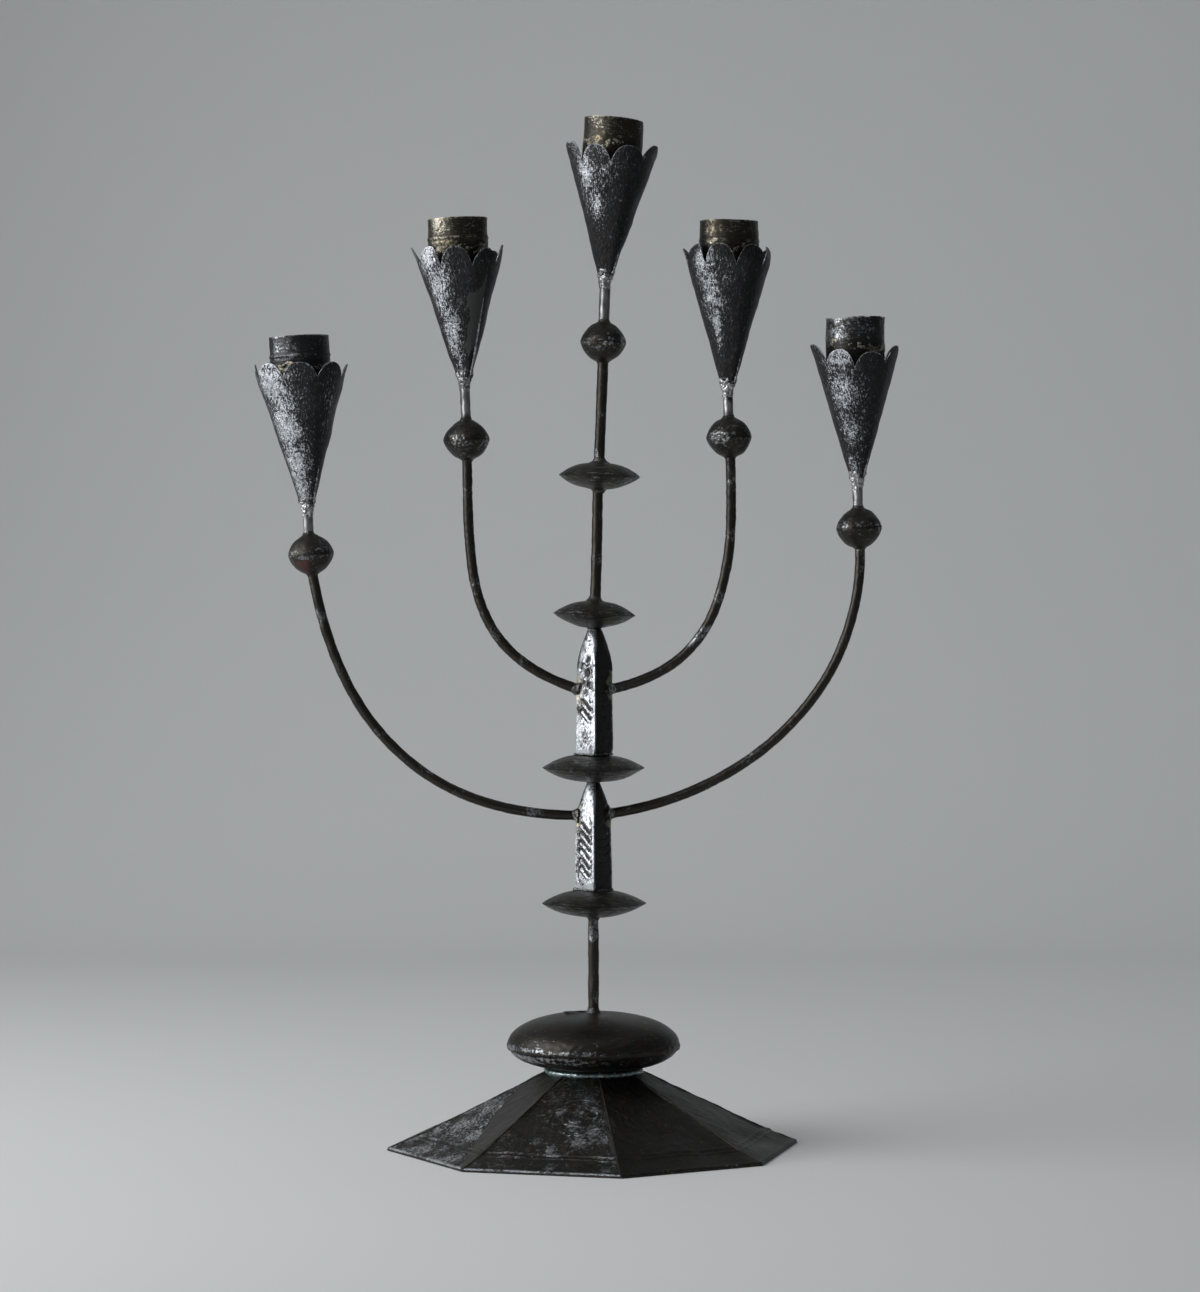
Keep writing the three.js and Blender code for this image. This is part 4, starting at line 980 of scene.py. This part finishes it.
armSolder = Batch()
for order, (name, light) in enumerate(lights.items()):
    if not light["side"]:
        continue
    bend, way = armBend(light, 420)
    inset = stem["radius"] + 0.5
    start = bend[0] - way * (tower["shoulder"] - inset) / abs(way[0])
    end = bend[-1] + lean(light["neckLean"], light["neck"] + 5.0)
    path = np.concatenate([np.linspace(start, bend[0], 12)[:-1], bend, np.linspace(bend[-1], end, 60)[1:]])
    addRod(f"{name}_arm", path, armRadius, 500 + 10 * order, len(path) - 46)
    # a collar of solder round the arm where it enters the tower's corner
    facing = Vector(way).to_track_quat("Z", "Y").to_matrix().to_4x4()
    place = placeAt(bend[0] - way * 0.5) @ facing
    armSolder.take(*filletShell(armRadius, 0.9, 1.8, 560 + order, spread=0.35), place)
armSolder.piece("arm_joint_solder", "solder", shift=3.3, grime=0.2)
print("arms ready")


ballShape = {
    "radius": 9.3,
    "rise": 7.8,
    "fullness": 2.2,
    "roundness": 0.68,
    "sheet": sheet,
    "collar": 0.7,
    "belt": (1.0, 2.8),
    "columns": 128,
    "rows": 40,
}
ballSolder = Batch()
for order, (name, light) in enumerate(lights.items()):
    rodRadius = rodRadiusOf(light)
    lens = {**ballShape, "hole": rodRadius + 0.2}
    above = ballPoint(light) + lean(light["neckLean"], ballShape["rise"])
    below = stemPoint(light["ballHeight"] - ballShape["rise"])
    if light["side"]:
        bend, way = armBend(light, 400)
        lengths = np.linalg.norm(np.diff(bend, axis=0), axis=1)
        behind = np.cumsum(lengths[::-1])[::-1]
        below = bend[int(np.argmin(np.abs(behind - ballShape["rise"])))]
    centre = (above + below) / 2
    degrees = math.degrees(math.atan2(above[0] - below[0], above[2] - below[2]))
    finish = "rustyBall" if name == "outer_left" else "ball"
    addLens(f"{name}_ball", lens, placeAt(centre, degrees), finish, 600 + 10 * order)
    offset = lensHeight(rodRadius + 1.1, lens)
    over, under = centre + lean(degrees, offset), centre - lean(degrees, offset)
    solderRing(ballSolder, 640 + order, over, degrees, rodRadius, 1.0, 1.5)
    solderRing(ballSolder, 650 + order, under, degrees, rodRadius, 0.8, 1.1, up=False)
ballSolder.piece("ball_solder", "solder", shift=6.6, grime=0.62)
print("balls ready")

stemPath = np.array([stemPoint(height) for height in np.linspace(stem["foot"], stem["top"], 420)])
addRod("stem_rod", stemPath, stem["radius"], 540, 390)
stemSolder.piece("stem_solder", "solder", shift=5.5, grime=0.5)


cone = {
    "petals": 8,
    "petalDepth": 7.2,
    "petalDrop": 2.0,  # how far their tops stay below the cone's mouth
    "petalRows": 30,  # of the mesh, from just below the notches up
    "rows": 84,
    "columns": 416,
    "lapTurn": 39.0,
    "lapSpan": 14.0,
    "lapLift": 0.75,
}
# how each petal differs, counted from the front toward +X: its outward flare, the height of its top, the
# height of the notch before it, and how far its top leans to one side
petalWork = {
    "middle": {
        "flare": (-1.2, -0.1, 0.3, 0.2, 0.3, 0.2, 1.0, -0.6),
        "top": (-0.7, 0.6, 0.0, -0.3, 0.2, 0.3, 0.6, -0.6),
        "notch": (-0.6, 1.0, 0.3, 0.0, -0.4, 0.2, 0.0, -2.2),
        "skew": (0, 0, 0, 0, 0, 0, 0.45, 0),
    },
    "inner_left": {
        "flare": (-0.2, -1.2, -0.5, 0.3, 0.3, 0.2, 0.2, -1.4),
        "top": (0.4, -0.6, 1.3, 0.0, -0.2, 0.3, 1.8, 1.2),
        "notch": (-0.8, -0.8, 1.0, 0.4, 0.0, 0.2, 0.0, -0.5),
        "skew": (0, 0, 0, 0, 0, 0, 0, 0.3),
    },
    "inner_right": {
        "flare": (0.2, -1.4, -1.6, 0.3, 0.2, 0.2, 0.3, -1.8),
        "top": (2.5, 2.4, 2.2, 1.8, 2.0, 1.6, 1.8, 3.0),
        "notch": (1.2, 1.2, 1.0, 1.2, 1.4, 1.0, 1.2, 1.2),
        "skew": (0, 0, 0, 0, 0, 0, 0, 0),
    },
    "outer_left": {
        "flare": (0.0, -0.4, 0.1, 0.2, 0.3, -0.6, -0.75, -0.5),
        "top": (1.7, 1.5, 0.9, 1.0, 1.2, 1.6, 2.4, 2.1),
        "notch": (3.2, 2.6, 2.4, 1.2, 1.0, 1.6, 1.4, 1.2),
        "skew": (0, 0, 0, 0, 0, 0, 0, 0.1),
    },
    "outer_right": {
        "flare": (-0.3, 0.15, -0.5, 0.2, 0.3, 0.2, 0.7, -1.5),
        "top": (-2.3, 0.4, 0.2, 0.1, 0.0, 0.4, 1.4, -1.0),
        "notch": (-1.5, 0.3, 0.0, 0.4, 0.0, 0.3, 0.6, 0.4),
        "skew": (0, 0, 0, 0, 0, 0, 0.1, 0),
    },
}
# painted highlights on each cone, on the side toward the lamp, as turn, height, width in degrees, half height
# and how much
conePaintedSheen = {
    "middle": (
        (-46, 54, 32, 7, 0.95), (-44, 40, 18, 14, 0.85), (-28, 28, 16, 9, 0.8), (-16, 42, 34, 14, 0.5),
    ),
    "inner_left": (
        (-50, 49, 28, 9, 1.0), (-36, 36, 28, 16, 1.0), (-26, 18, 27, 16, 0.95), (-14, 8, 30, 8, 0.75),
    ),
    "inner_right": (
        (-42, 48, 24, 8, 0.95), (-30, 24, 13, 11, 1.05), (-34, 36, 28, 14, 0.75), (-12, 44, 26, 8, 0.5),
    ),
    "outer_left": (
        (-42, 47, 44, 12, 1.0), (-34, 32, 40, 13, 1.1), (-24, 14, 44, 14, 1.1), (50, 40, 14, 16, 0.5),
    ),
    "outer_right": (
        (-32, 47, 38, 10, 0.65), (-28, 34, 38, 11, 0.75), (-20, 20, 38, 13, 0.68), (-22, 6, 32, 7, 0.6),
    ),
}
# a smooth smear of solder on one cone, from this turn to the lap's edge
smear = {"light": "inner_left", "turn": 11.0, "heights": (9.0, 34.0), "rise": 0.12}
socket = {
    "radius": 12.0,
    "sheet": 0.6,
    "gap": 0.3,  # between the socket and the cone, for the solder
    "floorSet": 2.5,
    "beadDepth": 8.0,  # of the rolled bead below the rim
    "beadWidth": 1.1,
    "seamTurn": 118,
    "rows": 76,
    "innerRows": 30,
    "columns": 192,
}
# how each socket differs: its finish, how bright its painted highlight toward the lamp is, how ragged its rim
# is cut, dips of the rim as turn, width and depth, and patches of solder film as turn, height below the rim,
# width and height
socketWork = {
    "middle": {
        "finish": "brass", "bright": 0.22, "ragged": 0.05,
        "dips": ((88, 7, 0.6), (95, 95, 0.9), (0, 400, 0.5)),
        "films": ((-34, 10.5, 12, 1.5),),
    },
    "inner_left": {
        "finish": "brass", "bright": 0.85, "ragged": 0.07,
        "dips": ((-100, 25, 0.2),),
        "films": ((-76, 3.0, 8, 3.5), (-34, 9.8, 32, 1.2)),
    },
    "inner_right": {
        "finish": "brass", "bright": 0.2, "ragged": 0.04,
        "dips": ((30, 40, 0.2),),
        "films": ((-36, 4.0, 4, 1.8), (-18, 3.6, 3, 1.6)),
    },
    "outer_left": {
        "finish": "greySocket", "bright": 0.5, "ragged": 0.04,
        "dips": ((-60, 40, 0.15),),
        "films": (),
    },
    "outer_right": {
        "finish": "silverSocket", "bright": 0.45, "ragged": 0.12,
        "dips": ((-48, 34, 0.95), (62, 5, 0.4), (20, 6, 0.3), (75, 5, 0.3)),
        "films": ((-54, 10.4, 13, 1.7),),
    },
}


def coneForm(light):
    rodRadius = rodRadiusOf(light)
    slope = (light["mouth"] - rodRadius - socket["gap"] - sheet) / light["cone"]
    across = sheet * math.hypot(1, slope)
    tip = rodRadius + socket["gap"] + across
    return (light["mouth"] - tip) / light["cone"], across, tip


def conePlace(light):
    return placeAt(ballPoint(light) + lean(light["neckLean"], light["neck"]), light["coneLean"])


def addCone(name, light, seed):
    slope, across, tip = coneForm(light)
    start = cone["lapTurn"] - cone["lapSpan"] / 2
    rows, columns, petalRows = cone["rows"], cone["columns"], cone["petalRows"]
    degrees = start + np.linspace(0, 360 + cone["lapSpan"], columns)
    turns = np.radians(degrees)
    step = 360 / cone["petals"]
    phase = (degrees - light["petalTurn"]) / step
    number = np.floor(phase).astype(int) % cone["petals"]
    along = phase - np.floor(phase)
    work = {key: np.array(values) for key, values in petalWork[name].items()}
    bow = 2 * along - 1 - work["skew"][number]
    bow = bow / (1 - np.sign(bow) * work["skew"][number])
    arch = np.clip(1 - np.abs(bow) ** 2.4, 0, 1) ** 0.8
    notch = light["cone"] - cone["petalDrop"] - cone["petalDepth"]
    low = notch + work["notch"][number] * (1 - along) + work["notch"][(number + 1) % cone["petals"]] * along
    edge = low + (notch + cone["petalDepth"] + work["top"][number] - low) * arch
    belt = notch - 3.4
    plain = belt * np.linspace(0, 1, rows - petalRows)
    upper = np.linspace(0, 1, petalRows + 1)[1:]
    heights = np.concatenate([np.broadcast_to(plain[:, None], (len(plain), columns)),
                              belt + upper[:, None] * (edge - belt)])
    above = np.clip((heights - notch) / cone["petalDepth"], 0, None)
    flare = work["flare"][number] * np.sin(math.pi * along) ** 0.6 * above ** 2
    curl = 0.25 * bow ** 2 * above  # petals flatten toward their cut edges
    lapStart = start + 360
    lap = cone["lapLift"] * smooth(degrees, lapStart - 34, lapStart + 2) * (1 + 0.6 * smooth(heights, 30, 50))
    reach = tip + slope * heights + lap + flare + curl
    skin = polar(turns[None, :], reach, heights)
    # the dents fade toward the lap, where two layers meet
    calm = 1 - bump(awayFrom(degrees, cone["lapTurn"]), 26)
    fadeIn = smooth(heights, 1.0, 9.0)
    dent = (0.17 * ripple(skin, 21.0, seed) + 0.045 * ripple(skin, 5.5, seed + 1)) * calm * fadeIn
    outer = polar(turns[None, :], reach + dent, heights)
    inner = polar(turns[None, :], reach + dent - across, heights)
    edgeRow = (outer[-1:] + inner[-1:]) / 2 + (0, 0, 0.12)
    inner = inner[::-1]  # coarser below the petals
    inner = np.concatenate([inner[: petalRows + 2], inner[petalRows + 2 :: 4]])
    points = np.concatenate([outer, edgeRow, inner])
    count = len(points)
    fromEdge = np.clip(edge - heights, 0, None)
    worn = np.zeros((count, columns))
    grime = np.zeros((count, columns))
    patches = patchy(skin, 17.0, seed + 3, -0.9, 1.1)
    # painted highlight: bright metal laid where the lamp's reflection falls on each cone
    paintedSheen = np.zeros(heights.shape)
    for at, level, wide, tall, amount in conePaintedSheen[name]:
        paintedSheen = np.maximum(paintedSheen, amount * bump(awayFrom(degrees, at), wide) * bump(heights - level, tall))
    paintedSheen = np.clip(0.92 * paintedSheen * (0.9 + 0.12 * ripple(skin, 9.0, seed + 4)), 0, 0.86)
    worn[:rows] = 0.9 * bump(fromEdge, 0.42) + 0.08 * patches + 0.3 * bump(heights, 4.0) + paintedSheen
    worn[rows] = 1.0
    film = np.zeros((count, columns))
    if name == smear["light"]:
        aside = degrees - 360 + 5.0 * ripple(skin, 7.0, seed + 8) + 2.0 * ripple(skin, 2.2, seed + 9)
        bottom, brim = smear["heights"]
        slant = smear["rise"] * (np.clip(degrees % 360, 0, 60) - 10)
        level = heights - 2.5 * ripple(skin, 9.0, seed + 10) - slant
        film[:rows] = smooth(aside, smear["turn"] - 1.5, smear["turn"] + 1.5)
        film[:rows] *= smooth(level, bottom - 2, bottom + 1) * (1 - smooth(level, brim - 0.8, brim + 0.8))
    lapEdge = bump(degrees - lapStart - cone["lapSpan"], 3.0) * (1 - 0.7 * smooth(heights, 24.0, 34.0))
    worn[:rows] += lapEdge * (1.0 if name == smear["light"] else 0.45)
    lapShadow = bump(degrees - start - cone["lapSpan"] - 2.6, 3.2)
    grime[:rows] = 0.95 * lapShadow * patchy(skin, 12.0, seed + 6, -2.2, -0.6)
    # painted shade: the cone darkens away from its painted highlights
    grime[:rows] += 0.3 * (1 - np.clip(1.6 * paintedSheen, 0, 1))
    grime[rows + 1:] = 0.35
    addPiece(f"{name}_cone_tin", points, sheetFaces(count, columns), "cone", [f"{name}_cone"],
             place=conePlace(light), shift=seed * 0.11, worn=worn, grime=grime, film=film)


def addSocket(name, light, seed):
    slope, across, tip = coneForm(light)
    seat = (socket["radius"] + socket["gap"] - (tip - across)) / slope
    top = light["cone"] + light["socketRise"]
    rows, innerRows, columns = socket["rows"], socket["innerRows"], socket["columns"]
    turns = around(columns)
    degrees = np.degrees(turns)
    cut = socketWork[name]
    dip = sum(depth * bump(awayFrom(degrees, at), width) for at, width, depth in cut["dips"])
    rimLine = polar(turns, socket["radius"], top - 0.1)
    ragged = cut["ragged"] * (ripple(rimLine, 2.2, seed) + 0.6 * ripple(rimLine, 0.9, seed + 1))
    crown = top - dip - np.abs(ragged)
    heights = seat + np.linspace(0, 1, rows)[:, None] * (crown - seat)[None, :]
    beadAt = top - socket["beadDepth"]
    beadRise = light["bead"] * bump(heights - beadAt, socket["beadWidth"] * 0.62)
    beadRise = beadRise + 0.45 * light["bead"] * bump(heights - beadAt + 1.9, 0.45)
    lipRise = 0.12 * bump(heights - top, 0.7)
    seamAt = bump(awayFrom(degrees, socket["seamTurn"]), 3.0)
    skin = polar(turns[None, :], socket["radius"], heights)
    dent = 0.13 * ripple(skin, 17.0, seed + 2) + 0.03 * ripple(skin, 4.0, seed + 3) + 0.22 * seamAt - 0.15
    outer = polar(turns[None, :], socket["radius"] + dent + beadRise + lipRise, heights)
    low = heights[np.linspace(0, rows - 1, innerRows).round().astype(int)]
    innerDent = 0.13 * ripple(polar(turns[None, :], socket["radius"], low), 17.0, seed + 2) - 0.15
    inner = polar(turns[None, :], socket["radius"] - socket["sheet"] + innerDent, low)[::-1]
    edgeRow = (outer[-1:] + inner[:1]) / 2 + (0, 0, 0.06)
    points = np.concatenate([outer, edgeRow, inner])
    worn = np.zeros(points.shape[:2])
    grime = np.zeros(points.shape[:2])
    patches = patchy(skin, 11.0, seed + 4, -0.6, 1.3)
    # painted highlight: brighter toward the front left, where the lamp is
    facing = bump(awayFrom(degrees, -46), 30)
    worn[:rows] = 0.5 * bump(heights - crown, 0.5) + 0.2 * patches + 0.6 * cut["bright"] * facing
    grime[:rows] = 0.5 * (1 - smooth(heights, top - 12.0, top - 8.5))
    grime[rows + 1:] = 0.55
    if light["bead"] > 0:
        worn[:rows] += 0.5 * bump(heights - beadAt, 0.8) * patchy(skin, 4.0, seed + 5, 0, 1.5)
        grime[:rows] += 0.3 * bump(heights - beadAt - 1.0, 0.35)
    film = np.zeros(points.shape[:2])
    for at, below, width, tall in cut["films"]:
        reach = np.hypot(awayFrom(degrees, at) / width, (top - below - heights) / tall)
        reach = reach + 0.25 * ripple(skin, 3.5, seed + 6)
        film[:rows] += (1 - smooth(reach, 0.7, 1.15)) * patchy(skin, 1.5, seed + 8, -1.0, 0.6)
    addPiece(f"{name}_socket_brass", points, gridFaces(len(points), columns), cut["finish"],
             [f"{name}_socket"], place=conePlace(light), shift=seed * 0.29, worn=worn, grime=grime, film=film)
    # the floor a candle stands on, a little dished
    floorAt = seat + socket["floorSet"]
    reach = socket["radius"] - socket["sheet"] - 0.2
    rings = np.linspace(reach, 0.4, 16)
    upperFace = np.stack([rings, floorAt + 0.5 - 0.25 * (1 - (rings / reach) ** 2)], 1)
    lowerFace = upperFace[::-1] - (0, 0.5)
    floorPoints = revolve(np.concatenate([upperFace, lowerFace]), 96)
    floorPoints[..., 2] += 0.03 * ripple(floorPoints, 5.0, seed + 7)
    faces = gridFaces(len(floorPoints), 96)
    addPiece(f"{name}_socket_floor_brass", floorPoints, faces, cut["finish"], [f"{name}_socket_floor"],
             place=conePlace(light), shift=seed * 0.33, grime=0.5)


tipSleeve = {"rows": 57, "columns": 72}
lapSeam = {"thickness": 0.6, "steps": 90, "sides": 10}
crumbs = {"tall": 1.5, "bulge": 1.4, "turn": -34.0, "width": 52.0, "rows": 13, "columns": 300}
# how many crumbs each light has, and how far up the cone its lap is soldered
crumbShare = {"middle": 0.35, "inner_left": 1.0, "inner_right": 0.4, "outer_left": 1.0, "outer_right": 0.3}
lapHeight = {"middle": 9.0, "inner_left": 31.0, "inner_right": 11.0, "outer_left": 14.0, "outer_right": 8.0}


def sleeveShell(light, seed):  # a lumpy sleeve of solder that runs down from the cone's tip along the rod
    slope, _, tip = coneForm(light)
    rod = rodRadiusOf(light)
    corners = np.array([
        (rod - 0.3, -5.2), (rod + 0.06, -5.2), (rod + 0.18, -3.4), (rod + 0.4, -1.9), (rod + 0.75, -1.0),
        (tip + 0.1, -0.2), (tip + 0.16 + slope * 0.8, 0.8), (tip + 0.04 + slope * 2.4, 2.4), (rod - 0.3, 2.4),
    ])
    steps = np.linspace(0, len(corners) - 1, tipSleeve["rows"])
    outline = np.stack([np.interp(steps, np.arange(len(corners)), corners[:, i]) for i in (0, 1)], 1)
    points = revolve(outline, tipSleeve["columns"])
    free = smooth(outline[:, 0], rod - 0.25, rod + 0.1)
    free = np.minimum(free, 1 - smooth(outline[:, 1], 1.7, 2.4))[:, None]
    lumps = 0.11 * ripple(points, 2.4, seed) + 0.07 * ripple(points, 1.1, seed + 10)
    points[..., :2] *= (1 + 0.5 * lumps * free)[..., None]
    return points, gridFaces(len(outline), tipSleeve["columns"])


def lapShell(light, height, seed):  # a bead of solder along the lap's edge
    slope, _, tip = coneForm(light)
    tall = np.linspace(0.8, height, lapSeam["steps"])
    turn = math.radians(cone["lapTurn"] + cone["lapSpan"] / 2 + 1.0)
    spine = polar(turn, tip + slope * tall + cone["lapLift"] * 0.75, tall)
    size = lapSeam["thickness"] * (1 - 0.55 * tall / height) * (1 + 0.22 * ripple(spine, 2.2, seed))
    return rodShell(spine, size, lapSeam["sides"])


def crumbShell(light, share, seed):  # crumbs of solder round the socket, above the notches of the petals
    level = light["cone"] - cone["petalDrop"] + 0.2
    rows = np.linspace(-1, 1, crumbs["rows"])[:, None]
    turns = around(crumbs["columns"])[None, :]
    waver = 0.6 * ripple(polar(turns, socket["radius"], level), 9.0, seed + 30)
    heights = level + crumbs["tall"] * rows + waver
    here = polar(turns, socket["radius"], heights)
    lumps = smooth(ripple(here, 3.6, seed) + 0.7 * ripple(here, 1.5, seed + 10), -0.2, 2.2)
    nearFront = bump(awayFrom(np.degrees(turns), crumbs["turn"]), crumbs["width"])
    bulge = crumbs["bulge"] * lumps * np.sqrt(1 - rows ** 2) * share * (0.12 + 0.88 * nearFront)
    outer = polar(turns, socket["radius"] - 0.22 + bulge, heights)
    inner = polar(turns, socket["radius"] - 0.45, heights[[-1, 0]])
    return np.concatenate([outer, inner]), gridFaces(crumbs["rows"] + 2, crumbs["columns"])


tipSolder = Batch()
cupSolder = Batch()
for order, (name, light) in enumerate(lights.items()):
    addCone(name, light, 700 + 20 * order)
    addSocket(name, light, 900 + 20 * order)
    place = conePlace(light)
    tipSolder.take(*sleeveShell(light, 800 + order), place)
    tipSolder.take(*lapShell(light, lapHeight[name], 820 + order), place)
    cupSolder.take(*crumbShell(light, crumbShare[name], 830 + order), place)
tipSolder.piece("cone_tip_solder", "solder", shift=7.7)
cupSolder.piece("cup_solder", "cream", shift=8.8, grime=0.1)
print("cones and sockets ready")


camera = {
    "focal": 4000,  # in pixels, of a picture this many pixels high
    "pixels": 1292,
    "sensor": 36,
    "distance": 1600.0,
    "height": 240.0,
    "aimHeight": 201.0,
    "x": stemX + 2.6,
}
eye = Vector([camera["x"] * mm, -camera["distance"] * mm, camera["height"] * mm])
aim = Vector([camera["x"] * mm, 0, camera["aimHeight"] * mm])
cameraData = bpy.data.cameras.new("camera")
cameraData.lens = camera["focal"] * camera["sensor"] / camera["pixels"]
cameraData.sensor_width = camera["sensor"]
viewer = bpy.data.objects.new("camera", cameraData)
viewer.location = eye
viewer.rotation_euler = (aim - eye).to_track_quat("-Z", "Y").to_euler()
bpy.context.collection.objects.link(viewer)
bpy.context.scene.camera = viewer

lamps = {
    "window": {"place": (-0.95, -0.31, 0.56), "aim": (0.0, 0.0, 0.24), "size": (1.15, 1.0),
               "watts": 7.4, "spread": 120},
    "ceiling": {"place": (-0.1, 0.0, 2.0), "aim": (0.0, 0.0, 0.0), "size": (3.0, 3.0),
                "watts": 7.0, "spread": 180},
}
for name, lamp in lamps.items():
    lampData = bpy.data.lights.new(name, "AREA")
    lampData.shape = "RECTANGLE"
    lampData.size, lampData.size_y = lamp["size"]
    lampData.energy = lamp["watts"]
    lampData.spread = math.radians(lamp["spread"])
    glow = bpy.data.objects.new(name, lampData)
    glow.location = lamp["place"]
    glow.rotation_euler = (Vector(lamp["aim"]) - Vector(lamp["place"])).to_track_quat("-Z", "Y").to_euler()
    glow.visible_camera = False
    bpy.context.collection.objects.link(glow)

room = bpy.data.worlds.new("room")
room.use_nodes = True
room.node_tree.nodes["Background"].inputs["Color"].default_value = (0.80, 0.85, 0.9, 1)
room.node_tree.nodes["Background"].inputs["Strength"].default_value = 0.14
bpy.context.scene.world = room

wall = Finish("paleWall")
wallPlaces = wall.add("TexCoord", {}, {}, 3)
tone = wall.noise(wallPlaces, 0.6, 3.0, 0.5)
wallColour = wall.blend(tone, (0.72, 0.735, 0.74, 1), (0.77, 0.78, 0.78, 1))
plaster = wall.add("BsdfPrincipled", {}, {"Base Color": wallColour, "Roughness": 0.9})
clear = wall.add("BsdfTransparent", {}, {})
backside = wall.add("NewGeometry", {}, {}, 6)  # seen from behind, the backdrop lets the view through
wallMaterial = wall.shown(wall.add("MixShader", {}, {0: backside, 1: plaster, 2: clear}))
sweep = {"depth": 0.75, "bend": 0.35, "left": -0.7, "right": 2.6, "height": 0.95, "front": -2.6}
angles = np.linspace(0, math.pi / 2, 24)
curve = [(sweep["front"], 0.0)]
curve += [(sweep["depth"] + sweep["bend"] * math.sin(a), sweep["bend"] * (1 - math.cos(a))) for a in angles]
curve.append((sweep["depth"] + sweep["bend"], sweep["height"]))
sides = (sweep["left"], sweep["right"])
corners = [(x, y, z) for y, z in curve for x in sides]
strips = [(2 * i, 2 * i + 1, 2 * i + 3, 2 * i + 2) for i in range(len(curve) - 1)]
floorMesh = bpy.data.meshes.new("floor")
floorMesh.from_pydata(corners, [], strips)
floorMesh.shade_smooth()
floorMesh.materials.append(wallMaterial)
floor = bpy.data.objects.new("floor", floorMesh)
bpy.context.collection.objects.link(floor)

bpy.context.scene.view_settings.view_transform = "Standard"
